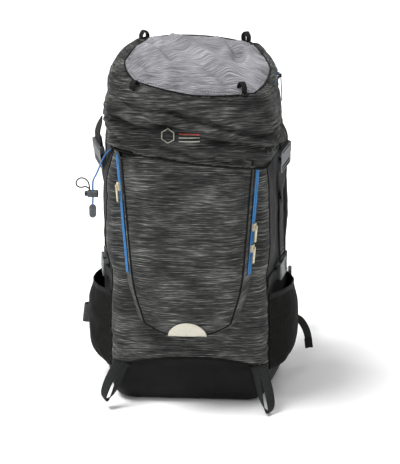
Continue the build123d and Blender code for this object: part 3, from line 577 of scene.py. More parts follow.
tieCord = dict(
    radius=1.5 * mm,
    length=0.139,
    route=(
        (-131.2, -58.0, 452.0),
        (-140.0, -60.0, 449.0),
        (-151.0, -60.0, 428.0),
        (-160.0, -52.0, 405.0),
        (-168.0, -40.0, 390.0),
        (-170.0, -32.0, 379.0),
        (-170.0, -32.0, 349.0),
        (-171.0, -31.5, 342.0),
    ),
)
bungee = dict(
    radius=1.25 * mm,
    length=0.078,
    route=(
        (-175.0, -35.0, 368.2),
        (-175.0, -35.0, 378.0),
        (-179.0, -35.0, 388.0),
        (-189.0, -34.0, 392.0),
        (-198.0, -33.0, 386.0),
        (-199.0, -31.0, 376.0),
        (-191.0, -29.0, 371.0),
        (-181.0, -29.0, 375.0),
        (-175.0, -29.0, 368.2),
    ),
)


def cordCurve(name, facts, material):
    curve = bpy.data.curves.new(name, "CURVE")
    curve.dimensions = "3D"
    curve.bevel_depth = facts["radius"]
    curve.bevel_resolution = 4
    curve.resolution_u = 16
    curve.use_fill_caps = True
    line = curve.splines.new("NURBS")
    line.points.add(len(facts["route"]) - 1)
    for point, place in zip(line.points, facts["route"]):
        point.co = [c * mm for c in place] + [1.0]
    line.order_u = 3
    line.use_endpoint_u = True
    curve.materials.append(material)
    piece = bpy.data.objects.new(name, curve)
    bpy.context.collection.objects.link(piece)
    return piece


tie = finishPiece(cordCurve("tie_cord_braid", tieCord, blueCord), "pack", "cord_blue", "tie_cord")
loop = finishPiece(cordCurve("bungee_loop_cord", bungee, blackCord), "pack", "cord_black", "bungee_loop")
print("camera, light and cords placed")

# bag body: rows go up, columns go round from the front left corner

bag = dict(
    halfDepth=0.100,
    lowWidth=0.308,
    highWidth=0.280,
    flare=0.084,
    top=0.470,
    tubTop=0.045,
    footInset=0.026,
    corner=0.028,
    frontColumns=72,
    cornerColumns=9,
    sideColumns=52,
    backColumns=60,
    seamSides=0.073,
    seamMiddle=0.091,
    cloth=1.6 * mm,
)
flareSlope = bag["flare"] / 2 / (2 * bag["halfDepth"])
taperSlope = (bag["highWidth"] - bag["lowWidth"]) / 2 / (bag["top"] - bag["tubTop"])


def halfWidth(z):
    return bag["lowWidth"] / 2 + taperSlope * (max(z, bag["tubTop"]) - bag["tubTop"])


def sideX(y, z):
    return halfWidth(z) + flareSlope * y


def planCorners(z):
    inset = 0.0
    if z < bag["tubTop"]:
        down = 1 - z / bag["tubTop"]
        inset = bag["footInset"] * (1 - math.sqrt(max(0.0, 1 - down**2.2)))
    y = bag["halfDepth"] - inset
    middle = halfWidth(z) - inset
    front, back = middle - flareSlope * y, middle + flareSlope * y
    return [(-front, -y), (front, -y), (back, y), (-back, y)]


# points and outward normals round the bag at height z, with the name of each column's side
def planOutline(z):
    corners = [Vector(c) for c in planCorners(z)]
    counts = (bag["frontColumns"], bag["sideColumns"], bag["backColumns"], bag["sideColumns"])
    names = ("front", "right", "back", "left")
    starts, ends = [], []
    for i, corner in enumerate(corners):
        before = (corner - corners[i - 1]).normalized()
        after = (corners[(i + 1) % 4] - corner).normalized()
        reach = bag["corner"] * math.tan(before.angle(after) / 2)
        starts.append(corner - before * reach)
        ends.append(corner + after * reach)
    result = []
    for i in range(4):
        before = (corners[i] - corners[i - 1]).normalized()
        after = (corners[(i + 1) % 4] - corners[i]).normalized()
        normalA = Vector((before.y, -before.x))
        centre = starts[i] - normalA * bag["corner"]
        turn = before.angle(after)
        for k in range(bag["cornerColumns"]):
            angle = turn * k / bag["cornerColumns"]
            normal = Vector(
                (
                    normalA.x * math.cos(angle) - normalA.y * math.sin(angle),
                    normalA.x * math.sin(angle) + normalA.y * math.cos(angle),
                )
            )
            result.append((centre + normal * bag["corner"], normal, "corner" + str(i)))
        normal = Vector((after.y, -after.x))
        for k in range(counts[i]):
            share = k / counts[i]
            result.append((ends[i].lerp(starts[(i + 1) % 4], share), normal, names[i]))
    return result


# height of the seam between the black base and the upper panels
def baseSeam(x, y):
    if y > 0:
        return bag["seamSides"] + 0.006
    arch = 1 - min(1.0, abs(x) / 0.125) ** 2
    return bag["seamSides"] + (bag["seamMiddle"] - bag["seamSides"]) * arch * ease(-y, 0.02, 0.09)


# how far the filled cloth stands out from the cut shape
def bagSwell(x, y, z, normal):
    swell = 0.0
    side = abs(normal.x)
    if side > 0.6:
        waist = ease(z, 0.09, 0.14) * (1 - ease(z, 0.19, 0.216))
        chest = ease(z, 0.225, 0.30) * (1 - ease(z, 0.40, 0.47))
        clear = 1 - ease(y, -0.035, 0.0) * (1 - ease(y, 0.055, 0.085))
        swell += (0.0015 * waist + 0.0075 * chest * clear) * side
        if x < 0:
            swell += 0.006 * chest * (1 - ease(y, -0.03, 0.0)) * side
    else:
        swell += 0.002 * ease(z, 0.1, 0.2) * (1 - ease(z, 0.4, 0.47))
        if y < 0 and z < 0.13:
            swell += 0.004 * math.sin(math.pi * min(1.0, max(0.0, (z - 0.02) / 0.11)))
    wrinkle = 0.0
    if z > 0.03:
        wrinkle += 0.0012 * fold(x, y, z, (60, 60, 24), 3.1)
        if side > 0.5:
            wrinkle += 0.0016 * fold(x, y + z * 0.4, z, (80, 46, 90), 8.4) * ease(z, 0.2, 0.3)
        if y < -0.05 and 0.07 < z < 0.135:
            wrinkle += 0.0024 * fold(x * 0.5, y, z + 0.10 * abs(x), (60, 60, 13), 5.7)
    return swell + wrinkle


def bagPoint(column, z, lift=0.0):
    place, normal, _ = column
    out = Vector((normal.x, normal.y, 0.0))
    point = Vector((place.x, place.y, z))
    return point + out * (bagSwell(place.x, place.y, z, normal) + lift)


# on the bag's left (-1) or right (1) face at depth y and height z, lift metres off the cloth
def sidePoint(side, y, z, lift=0.0):
    normal = Vector((1.0, -flareSlope)).normalized()
    x = sideX(y, z)
    if y > 0.072:
        inward = min(bag["corner"], y - 0.072)
        x -= bag["corner"] - math.sqrt(bag["corner"] ** 2 - inward**2)
    swell = bagSwell(side * x, y, z, Vector((side * normal.x, normal.y)))
    return Vector((side * (x + normal.x * (swell + lift)), y + normal.y * (swell + lift), z))


# a panel of the bag: wanted picks its columns, low and high give its edges at each column
def bagPanel(name, wanted, low, high, rows, material):
    middle = planOutline(0.2)
    count = len(middle)
    picked = [i for i in range(count) if not wanted or middle[i][2] in wanted]
    start = next((i for i in picked if (i - 1) % count not in picked), picked[0])
    ordered = [(start + k) % count for k in range(len(picked))]
    closed = len(picked) == count
    if not closed:
        ordered.append((ordered[-1] + 1) % count)
    outlines = {}
    points, lay = [], []
    for r in range(rows):
        for c, column in enumerate(ordered):
            place = middle[column][0]
            z = low(place.x, place.y) + (high(place.x, place.y) - low(place.x, place.y)) * r / (rows - 1)
            key = round(z, 4)
            if key not in outlines:
                outlines[key] = planOutline(key)
            point = bagPoint(outlines[key][column], key)
            points.append(point)
            lay.append((c * 4.0 * mm, z, 0.0))
    columns = len(ordered)
    return makeMesh(name, points, gridFaces(rows, columns, closed), material, lay), columns


def atTop(x, y):
    return bag["top"]


def nearFloor(x, y):
    return 0.0008


basePiece, baseColumns = bagPanel("base_cloth", (), nearFloor, baseSeam, 22, packcloth)
soleRings = 6
base = basePiece.data
rim = [Vector(base.vertices[c].co) for c in range(baseColumns)]
sole = []
for ring in range(soleRings):
    share = 1 - ring / (soleRings - 1)
    sole += [Vector((p.x * share, p.y * share, p.z)) for p in rim]
soleMesh = makeMesh("sole", sole, [tuple(reversed(f)) for f in gridFaces(soleRings, baseColumns, True)], packcloth)
thicken(basePiece, bag["cloth"])
basePiece = mergePieces("base_cloth", [basePiece, soleMesh])
finishPiece(basePiece, "pack", "black_fabric", "base_panel")

frontPiece, _ = bagPanel(
    "front_cloth", ("corner0", "front", "corner1"), baseSeam, atTop, 84, heather
)
thicken(frontPiece, bag["cloth"])
finishPiece(frontPiece, "pack", "heather_fabric", "front_panel")
for side in ("left", "right"):
    piece, _ = bagPanel(side + "_side_cloth", (side,), baseSeam, atTop, 84, shadedSideHeather)
    thicken(piece, bag["cloth"])
    finishPiece(piece, "pack", "heather_fabric", side + "_side_panel")
backPiece, _ = bagPanel(
    "back_cloth", ("corner2", "back", "corner3"), baseSeam, atTop, 60, packcloth
)
thicken(backPiece, bag["cloth"])
finishPiece(backPiece, "pack", "black_fabric", "back_panel")
print("bag body made")

# seams of the bag: a dark binding cord


# the column where a seam runs: side is left or right, end is front or back
def bagColumnAt(side, end):
    outline = planOutline(0.2)
    picks = [i for i, c in enumerate(outline) if c[2] == side]
    first = side == "right"
    return picks[0] if (end == "front") == first else picks[-1]


seamParts = []
for side in ("left", "right"):
    for end in ("front", "back"):
        column = bagColumnAt(side, end)
        heights = [0.078 + (0.468 - 0.078) * k / 40 for k in range(41)]
        line = [bagPoint(planOutline(z)[column], z, 0.3 * mm) for z in heights]
        seamParts.append(roundTube("seam", line, 1.3 * mm, binding, 90, flat=1.0))
seamLine = []
outline = planOutline(0.08)
for c in outline:
    z = baseSeam(c[0].x, c[0].y)
    seamLine.append(bagPoint(planOutline(z)[outline.index(c)], z, 0.2 * mm))
seamParts.append(roundTube("seam", seamLine, 1.2 * mm, binding, 260, closed=True))
seams = mergePieces("bag_seams", seamParts)
finishPiece(seams, "pack", "webbing")

# front pocket

pocket = dict(
    top=0.446,
    reach=0.470,
    bottom=0.128,
    topWidth=0.246,
    bottomWidth=0.202,
    depth=0.038,
    slope=0.016,
    roundness=0.55,
    dome=0.0075,
    columns=62,
    rows=80,
    gussetRows=9,
    cloth=1.4 * mm,
)
pocketLean = (pocket["topWidth"] - pocket["bottomWidth"]) / 2 / (pocket["top"] - pocket["bottom"])


def pocketHalf(z):
    return pocket["bottomWidth"] / 2 + pocketLean * (z - pocket["bottom"])


# u and v run from -1 to 1 across and up the face; the lower corners are rounded
def pocketFacePoint(u, v):
    k = pocket["roundness"] * ease(-v, 0.0, 0.9)
    s = u * (1 - k * (1 - math.sqrt(1 - v * v / 2)))
    t = v * (1 - (k * (1 - math.sqrt(1 - u * u / 2)) if v < 0 else 0.06 * u * u * v))
    low = pocket["bottom"] + pocket["slope"]
    high = pocket["reach"]
    z = (low + high) / 2 + t * (high - low) / 2
    x = s * (pocketHalf(z) - pocket["slope"])
    rim = min(1.0, (1 - abs(u)) * 5.5) * min(1.0, (1 - abs(v)) * 7)
    dome = pocket["dome"] * (1 - u**4) * (1 - v**6) + 0.0022 * math.sin(math.pi / 2 * rim)
    ripple = 0.0022 * fold(x, 0.0, z + 0.15 * x, (90, 70, 42), 2.2) * min(1.0, (1 - abs(u)) * 4)
    loose = 1 - 0.9 * ease(z, 0.395, 0.448)   # pressed flat where the lid lies on it
    return Vector((x, -bag["halfDepth"] - pocket["depth"] - (dome + ripple) * loose, z))


columns, rows = pocket["columns"], pocket["rows"]
facePoints, lay = [], []
for r in range(rows):
    for c in range(columns):
        point = pocketFacePoint(2 * c / (columns - 1) - 1, 2 * r / (rows - 1) - 1)
        facePoints.append(point)
        lay.append((point.x, point.z, 0.0))
pocketFace = makeMesh("pocket_face", facePoints, gridFaces(rows, columns), heather, lay)
crumple(pocketFace, rimIndices(rows, columns), pressure=0.6, grow=0.012, cap=0.0045)
for vertex in pocketFace.data.vertices:
    room = 0.1405 + 0.012 * (1 - ease(vertex.co.z, 0.395, 0.445))
    vertex.co.y = max(vertex.co.y, -room)
faceLoop = (
    [(rows - 1 - r) * columns for r in range(rows)]
    + list(range(1, columns))
    + [r * columns + columns - 1 for r in range(1, rows)]
)
rimPoints = [Vector(pocketFace.data.vertices[i].co) for i in faceLoop]


# y of the cloth at x, z, from its six nearest points
def clothDepth(cloth, x, z):
    near = sorted(((p.x - x) ** 2 + (p.z - z) ** 2 + 1e-9, p.y) for p in cloth)[:6]
    weight = sum(1 / d for d, _ in near)
    return sum(y / d for d, y in near) / weight


# where the gusset from a rim point meets the bag: straight back and outwards
def pocketBase(point):
    scale = (pocketHalf(point.z)) / max(1e-6, pocketHalf(point.z) - pocket["slope"])
    x = point.x * scale
    z = point.z
    if point.z < 0.20:
        drop = pocket["slope"] * (1 - ease(point.z, 0.144, 0.20))
        z = point.z - drop
    y = -bag["halfDepth"] - 0.0005
    corner = sideX(-0.1, z) - 0.030
    if abs(x) > corner:
        beyond = min(0.028, abs(x) - corner)
        y += bag["corner"] - math.sqrt(max(0.0, bag["corner"] ** 2 - beyond**2))
    return Vector((x, y, z))


gusset = []
for r in range(pocket["gussetRows"]):
    share = r / (pocket["gussetRows"] - 1)
    for p in rimPoints:
        gusset.append(p.lerp(pocketBase(p), share))
gussetFaces = [tuple(reversed(f)) for f in gridFaces(pocket["gussetRows"], len(rimPoints))]
gussetPiece = makeMesh("pocket_gusset", gusset, gussetFaces, heather)
topEdge = [Vector(pocketFace.data.vertices[(rows - 1) * columns + c].co) for c in range(columns)]
topPoints = topEdge + [Vector((p.x * 1.02, -bag["halfDepth"] + 0.001, p.z + 0.004)) for p in topEdge]
topPiece = makeMesh("pocket_top", topPoints, gridFaces(2, columns), heather)
clothNearPatch = [v.co.copy() for v in pocketFace.data.vertices if v.co.z < 0.21]
thicken(pocketFace, pocket["cloth"])
pieces = [pocketFace, gussetPiece, topPiece]
piping = roundTube("piping", [p + frontOut * 0.0006 for p in rimPoints], 1.5 * mm, binding, 240)
inner = []
for r in range(rows - 3, 2, -1):
    inner.append(pocketFacePoint(-0.95, 2 * r / (rows - 1) - 1))
for c in range(2, columns - 2):
    inner.append(pocketFacePoint(2 * c / (columns - 1) - 1, -0.965))
for r in range(3, rows - 2):
    inner.append(pocketFacePoint(0.95, 2 * r / (rows - 1) - 1))
seamStitch = stitches("pocket_stitch", [p + frontOut * 0.003 for p in inner], frontOut, stitchThread)
pieces += [piping, seamStitch]
finishPiece(mergePieces("front_pocket_cloth", pieces), "pack", "heather_fabric", "front_pocket")

patch = dict(radius=0.033, foot=0.1465, flatten=0.86, lift=0.0024, rows=10, columns=28)
patchPoints = []
for r in range(patch["rows"]):
    for c in range(patch["columns"]):
        angle = math.pi * c / (patch["columns"] - 1)
        reach = patch["radius"] * r / (patch["rows"] - 1)
        x, z = reach * math.cos(angle), patch["foot"] + reach * math.sin(angle) * patch["flatten"]
        patchPoints.append((x, clothDepth(clothNearPatch, x, z) - patch["lift"], z))
patchPiece = makeMesh("reflective_half_round", patchPoints, gridFaces(patch["rows"], patch["columns"]), beadFilm)
thicken(patchPiece, 0.6 * mm)
finishPiece(patchPiece, "pack", "reflective", "reflective_patch")
print("front pocket made")

# zips: woven tape with a nylon coil of separate turns


# middle of the pocket's slanted side at height z, with the directions back, up and out
def gussetFrame(z, side):
    lean = pocket["topWidth"] / 2 - pocket["bottomWidth"] / 2
    up = Vector((lean, 0, pocket["top"] - pocket["bottom"])).normalized()
    spread = math.sqrt(1 + pocketLean**2)
    inward = Vector((pocketLean * pocket["slope"] - pocket["slope"] * spread, -pocket["depth"], pocket["slope"]))
    back = -(inward - up * inward.dot(up)).normalized()
    middle = Vector((pocketHalf(z), -bag["halfDepth"], z)) - back * pocket["depth"] / 2
    out = back.cross(up)
    flip = lambda v: Vector((v.x * side, v.y, v.z))
    return flip(middle), flip(back), flip(up), flip(out)


# tape halves either side of a coil from start to end
def zipPieces(start, end, across, out, width=12 * mm, turn=2.1 * mm):
    start, end = Vector(start), Vector(end)
    direction = (end - start).normalized()
    length = (end - start).length
    parts = []
    for sign in (-1, 1):
        centre = across * sign * width * 0.27
        tapeWidth = width * 0.46
        route = [start + centre + direction * length * k / 6 + out * 0.9 * mm for k in range(7)]
        parts.append(strap("tape", route, across, tapeWidth, 0.9 * mm, blueTape, 60))
        seam = [p + across * sign * tapeWidth * 0.32 + out * 0.5 * mm for p in route]
        parts.append(stitches("tape_stitch", seam, out, blueCoil, 3.2 * mm, 2.2 * mm, 0.3 * mm))
    count = int(length / turn)
    coil = []
    for i in range(count * 8):
        angle = 2 * math.pi * i / 8
        coil.append(
            start
            + direction * length * i / (count * 8)
            + across * math.cos(angle) * 1.7 * mm
            + out * (1.5 * mm + math.sin(angle) * 0.75 * mm)
        )
    parts.append(roundTube("coil", coil, 0.42 * mm, blueCoil, len(coil), sides=5))
    return parts


zipRun = dict(low=0.252, high={-1: 0.462, 1: 0.440})
zipParts = []
for side in (-1, 1):
    middle, back, up, out = gussetFrame(zipRun["low"], side)
    end = middle + up * (zipRun["high"][side] - zipRun["low"]) / up.z
    zipParts += zipPieces(middle, end, back, out, 13 * mm)
finishPiece(mergePieces("pocket_zip_tapes", zipParts), "pack", "zip_blue", "pocket_zips")
print("zips made")

# side pockets of mesh

sidePocket = dict(low=0.046, high=0.188, half=0.070, bulge=0.029, columns=44, rows=30)


# u runs from front seam to back seam and v from bottom to top
def meshPoint(side, u, v):
    y = sidePocket["half"] * u
    z = sidePocket["low"] + (sidePocket["high"] - sidePocket["low"]) * v
    z += 0.012 * u * u * (1 - v) + 0.012 * (1 - u) / 2 * v - 0.006 * v
    belly = math.cos(math.pi / 2 * abs(u) ** 1.25)
    full = (1 - (1 - min(1.0, v * 2.6 + 0.02)) ** 2) ** 0.5 * (1 - 0.22 * ease(v, 0.75, 1.0))
    ripple = 0.0016 * fold(y, z, side * 0.1, (22, 60, 60), 4.0) * belly
    return sidePoint(side, y, z, sidePocket["bulge"] * belly * full + 0.0012 + ripple)


for side, label in ((-1, "left"), (1, "right")):
    columns, rows = sidePocket["columns"], sidePocket["rows"]
    points = [
        meshPoint(side, 2 * c / (columns - 1) - 1, r / (rows - 1)) for r in range(rows) for c in range(columns)
    ]
    faces = gridFaces(rows, columns)
    if side < 0:
        faces = [tuple(reversed(f)) for f in faces]
    cloth = makeMesh(label + "_mesh", points, faces, pocketMesh)
    crumple(cloth, rimIndices(rows, columns), pressure=0.4, grow=0.02, cap=0.004)
    thicken(cloth, 0.9 * mm, 1)
    brim = [meshPoint(side, 2 * c / 30 - 1, 1.0) for c in range(31)]
    hem = strap("hem", brim, upward, 11 * mm, 2.2 * mm, binding, 80)
    frontEdge = [meshPoint(side, -1.0, k / 20) for k in range(21)]
    rearEdge = [meshPoint(side, 1.0, k / 20) for k in range(21)]
    foot = [meshPoint(side, 2 * c / 30 - 1, 0.0) for c in range(31)]
    bindings = [roundTube("edge", e, 1.5 * mm, binding, 50) for e in (frontEdge, rearEdge, foot)]
    finishPiece(mergePieces(label + "_mesh_cloth", [cloth, hem] + bindings), "pack", "mesh", label + "_mesh_pocket")
print("side pockets made")

# lid

lid = dict(
    half=0.150,
    topHalf=0.138,
    frontHem=-0.1515,
    frontTop=-0.1255,
    rear=0.105,
    rearTop=0.101,
    lowZ=0.440,
    highZ=0.630,
    crownFront=0.552,
    crownRear=0.612,
    hemFront=0.454,
    hemRear=0.509,
    hemTilt=0.115,
    crownTilt=0.045,
    shoulder=0.26,
    shoulderDrop=0.021,
    leftDraw=0.965,
    columns=56,
    rows=52,
    wallRows=64,
    cloth=1.6 * mm,
)
# folds pressed into the lid: from x, z to x, z on the front wall, height and half width
wallFolds = (
    (-0.118, 0.524, -0.040, 0.522, 0.0080, 0.0085),
    (-0.055, 0.526, 0.060, 0.512, 0.0075, 0.0090),
    (0.050, 0.514, 0.142, 0.500, 0.0075, 0.0085),
    (-0.130, 0.500, -0.090, 0.478, 0.0040, 0.0070),
    (0.020, 0.536, 0.130, 0.524, 0.0060, 0.0080),
    (-0.100, 0.548, -0.010, 0.538, 0.0055, 0.0070),
    (0.060, 0.470, 0.135, 0.462, -0.0040, 0.0080),
    (-0.060, 0.482, 0.050, 0.470, -0.0035, 0.0100),
    (-0.145, 0.470, -0.060, 0.462, 0.0035, 0.0070),
)
# creases in the crown: from x, y to x, y, height and half width
crownFolds = (
    (-0.105, 0.050, -0.055, 0.020, -0.0080, 0.0090),
    (-0.080, 0.030, -0.035, -0.030, -0.0060, 0.0100),
    (0.055, 0.060, 0.075, -0.010, -0.0090, 0.0130),
    (0.100, 0.040, 0.090, -0.020, 0.0060, 0.0080),
    (-0.040, 0.060, 0.060, -0.070, 0.0060, 0.0160),
    (-0.110, -0.010, -0.080, -0.060, -0.0060, 0.0080),
    (0.020, -0.060, 0.070, -0.095, -0.0050, 0.0080),
)


# height of a set of straight folds at a place given by two coordinates in metres
def pressedFolds(folds, first, second):
    height = 0.0
    for a, b, c, d, lift, width in folds:
        length = math.hypot(c - a, d - b)
        along = ((first - a) * (c - a) + (second - b) * (d - b)) / length / length
        off = ((first - a) * (d - b) - (second - b) * (c - a)) / length
        off += 0.004 * math.sin(along * 5 + a * 90)
        ends = math.exp(-((max(0.0, -along, along - 1) * length / 0.016) ** 2))
        crest = math.exp(-((off / (width if off < 0 else width * 0.5)) ** 2))
        height += lift * ends * (crest - 0.45 * math.exp(-(((off - width * 1.15) / (width * 0.6)) ** 2)))
    return height


# half width, front and rear of the lid at height z
def lidLimits(z):
    share = (z - lid["lowZ"]) / (lid["highZ"] - lid["lowZ"])
    half = lid["half"] + (lid["topHalf"] - lid["half"]) * share
    front = lid["frontHem"] + (lid["frontTop"] - lid["frontHem"]) * share
    rear = lid["rear"] + (lid["rearTop"] - lid["rear"]) * share
    return half, front, rear


def lidSlope(y, frontHeight, rearHeight):
    return frontHeight + (rearHeight - frontHeight) * (y - lid["frontHem"]) / (lid["rear"] - lid["frontHem"])


# a square turned towards a disc by k, for a panel with rounded corners
def squarePoint(u, v, k):
    s = u * (1 - k * (1 - math.sqrt(1 - v * v / 2)))
    t = v * (1 - k * (1 - math.sqrt(1 - u * u / 2)))
    return s, t


def crownPlane(x, y):
    return lidSlope(y, lid["crownFront"], lid["crownRear"]) - lid["crownTilt"] * x


# the panel on top, in a copy of the lid fabric painted paler for the light falling on it: it narrows to the rear and
# its left front corner is cut back
def crownPoint(u, v):
    s, t = squarePoint(u, v, 0.66)
    half, front, rear = lidLimits(0.590)
    left, right = -half + 0.024, half - 0.008
    near, far = front + 0.010, rear - 0.012
    x = (left + right) / 2 + s * (right - left) / 2
    x *= 1 - 0.13 * max(0.0, t)
    y = (near + far) / 2 + t * (far - near) / 2 + 0.024 * max(0.0, -s) * max(0.0, -t)
    rim = max(abs(u), abs(v))
    dome = 0.005 + 0.017 * (1 - rim**2.4)
    ripple = 0.0024 * fold(x, y, 0.0, (44, 60, 60), 6.6) * (1 - rim**6)
    return Vector((x, y, crownPlane(x, y) + dome + ripple))


def lidMark(u, v):
    return 2 * u / (lid["columns"] - 1) - 1, 2 * v / (lid["rows"] - 1) - 1


columns, rows = lid["columns"], lid["rows"]
crownPoints, lay = [], []
for r in range(rows):
    for c in range(columns):
        p = crownPoint(*lidMark(c, r))
        crownPoints.append(p)
        lay.append((p.x, p.y, 0.0))
crown = makeMesh("crown", crownPoints, gridFaces(rows, columns), litCrownHeather, lay)
crumple(crown, rimIndices(rows, columns), pressure=0.4, grow=0.03, cap=0.005, bend=0.25)
for i, vertex in enumerate(crown.data.vertices):
    u, v = lidMark(i % columns, i // columns)
    vertex.co.z += 1.3 * pressedFolds(crownFolds, vertex.co.x, vertex.co.y) * (1 - max(abs(u), abs(v)) ** 8)
rimMarks = (
    [(c, 0) for c in range(columns - 1)]
    + [(columns - 1, r) for r in range(rows - 1)]
    + [(c, rows - 1) for c in range(columns - 1, 0, -1)]
    + [(0, r) for r in range(rows - 1, 0, -1)]
)
crownRim = [Vector(crown.data.vertices[r * columns + c].co) for c, r in rimMarks]
ring = len(rimMarks)


def hemHeight(x, y):
    return lidSlope(y, lid["hemFront"], lid["hemRear"]) - lid["hemTilt"] * x * (1 - ease(y, 0.0, 0.08))


# down the lid's side from a crown rim point: share 0 at the crown and 1 at the hem
def wallPoint(index, share):
    rim = crownRim[index]
    u, v = lidMark(*rimMarks[index])
    s, t = squarePoint(u, v, 0.42)
    turn = min(1.0, share / lid["shoulder"]) * math.pi / 2
    shoulderZ = rim.z - lid["shoulderDrop"] * (1 - math.cos(turn))
    half, front, rear = lidLimits(shoulderZ)
    hem = hemHeight(s * half, (front + rear) / 2 + t * (rear - front) / 2)
    down = max(0.0, share - lid["shoulder"]) / (1 - lid["shoulder"])
    z = shoulderZ + (hem - shoulderZ) * down
    half, front, rear = lidLimits(z)
    reach = math.sin(turn)
    x = rim.x + (s * half - rim.x) * reach
    y = rim.y + ((front + rear) / 2 + t * (rear - front) / 2 - rim.y) * reach
    outward = Vector((s / half, t * 2 / (rear - front), 0)).normalized()
    calm = 1 - ease(y, 0.02, 0.08)
    puff = (0.003 + 0.005 * max(0.0, -t) ** 2) * math.sin(math.pi * min(1.0, down * 1.04)) * calm * reach
    tuck = -0.0025 * ease(down, 0.82, 1.0) * calm
    amount = ease(share, 0.10, 0.34) * (1 - ease(down, 0.93, 1.0)) * calm
    ripple = 0.0022 * fold(x * 0.7, y * 0.7, z + 0.16 * x, (60, 60, 20), 1.3) * amount
    crease = 0.0014 * fold(x, y, z - 0.3 * x, (22, 22, 50), 7.9) * amount
    pressed = 2.0 * pressedFolds(wallFolds, x, z + 0.10 * x) * amount * ease(-y, 0.02, 0.09)
    # the badge's backing keeps flat
    pressed *= 1 - math.exp(-(((x + 0.014) / 0.042) ** 4) - ((z - 0.503) / 0.016) ** 4)
    return Vector((x, y, z)) + outward * (puff + tuck + ripple + crease), outward * pressed


wallRows = lid["wallRows"]
wallMarks = [wallPoint(i, r / (wallRows - 1)) for r in range(wallRows) for i in range(ring)]
wallFaces = [tuple(reversed(f)) for f in gridFaces(wallRows, ring, True)]
wall = makeMesh("lid_wall", [point for point, _ in wallMarks], wallFaces, shadedLidWallHeather)
wallEdges = list(range(ring)) + list(range((wallRows - 1) * ring, wallRows * ring))
crumple(wall, wallEdges, pressure=0.3, grow=0.025, cap=0.004, bend=0.3)
for i, (vertex, (_, pressed)) in enumerate(zip(wall.data.vertices, wallMarks)):
    vertex.co += pressed
    x, y, z = vertex.co
    zipBand = ease(0.026 - abs(z - 0.562), 0.0, 0.012) * ease(y, -0.065, -0.045) * (1 - ease(y, 0.07, 0.085))
    zipBand *= ease(i // ring / wallRows, lid["shoulder"], lid["shoulder"] + 0.08)
    if abs(x) > 0.12:
        vertex.co.x += (math.copysign(lidLimits(z)[0] - 0.0030, x) - x) * zipBand   # flat under the zips
    vertex.co.y = max(vertex.co.y, -0.170)
    if vertex.co.x < 0:
        vertex.co.x *= lid["leftDraw"]
for vertex in crown.data.vertices:
    if vertex.co.x < 0:
        vertex.co.x *= lid["leftDraw"]
crownRim = [Vector((p.x * (lid["leftDraw"] if p.x < 0 else 1), p.y, p.z)) for p in crownRim]
hemLine = [Vector(wall.data.vertices[(wallRows - 1) * ring + c].co) for c in range(ring)]


# a point on the lid's front at x, z, its depth taken from the nearest wall points and set off the cloth by the badge's
# lift
clothNearBadge = [v.co.copy() for v in wall.data.vertices if v.co.y < -0.06]


def onWall(x, z):
    return Vector((x, clothDepth(clothNearBadge, x, z) - badge["lift"], z))


badge = dict(
    centre=(-0.030, 0.505),
    radius=0.0115,
    bars=((0.018, 0.004), (0.018, -0.002), (0.018, -0.008)),
    barLength=0.034,
    thread=0.9 * mm,
    lift=0.0012,
)
badgeParts = []
bx, bz = badge["centre"]
ringPoints = []
for k in range(7):
    angle = math.pi / 3 * k + math.pi / 6
    ringPoints.append((bx + badge["radius"] * math.cos(angle), bz + badge["radius"] * math.sin(angle)))
for (x0, z0), (x1, z1) in zip(ringPoints, ringPoints[1:]):
    line = [onWall(x0 + (x1 - x0) * k / 4, z0 + (z1 - z0) * k / 4) for k in range(5)]
    badgeParts.append(roundTube("hexagon", line, badge["thread"], paleThread, 10, sides=6))
for dx, dz in badge["bars"]:
    line = [onWall(bx + dx + badge["barLength"] * k / 8, bz + dz) for k in range(9)]
    badgeParts.append(roundTube("bar", line, badge["thread"], redThread if dz > 0 else paleThread, 20, sides=6))
thicken(crown, lid["cloth"])
thicken(wall, lid["cloth"])
pipingLine = [p + Vector((0, 0, 0.0004)) for p in crownRim]
crownPiping = roundTube("crown_piping", pipingLine, 1.5 * mm, binding, 300, closed=True)
hemLine = [
    (hemLine[i - 2] + hemLine[i - 1] + hemLine[i] + hemLine[(i + 1) % ring] + hemLine[(i + 2) % ring]) / 5
    for i in range(ring)
]
hemBinding = roundTube("hem_binding", hemLine, 2.3 * mm, binding, 300, closed=True)
stitchLine = []
for c, r in rimMarks + rimMarks[:1]:
    u, v = lidMark(c, r)
    point = crownPoint(u * 0.945, v * 0.945) + Vector((0, 0, 0.0012))
    point.x *= lid["leftDraw"] if point.x < 0 else 1
    stitchLine.append(point)
crownStitch = stitches("crown_stitch", stitchLine, upward, stitchThread, 4.4 * mm)
lidPiece = mergePieces("lid_cloth", [crown, wall, crownPiping, hemBinding, crownStitch] + badgeParts)
finishPiece(lidPiece, "lid", "lid_fabric", "lid_shell")

floorRows, floorColumns = 16, 20
floorPoints = []
for r in range(floorRows):
    for c in range(floorColumns):
        u, v = 2 * c / (floorColumns - 1) - 1, 2 * r / (floorRows - 1) - 1
        s, t = squarePoint(u, v, 0.5)
        half, front, rear = lidLimits(0.53)
        sag = 0.002 * fold(s * 0.1, t * 0.1, 0.0, (40, 40, 40), 9.0) * (1 - max(abs(u), abs(v)) ** 4)
        floorPoints.append((s * (half - 0.005), (front + rear) / 2 + t * ((rear - front) / 2 - 0.005), 0.531 + sag))
lidLiner = makeMesh("lid_liner", floorPoints, gridFaces(floorRows, floorColumns), liner)
thicken(lidLiner, 0.8 * mm, 1)
finishPiece(lidLiner, "lid", "black_fabric", "lid_floor")
print("lid made")

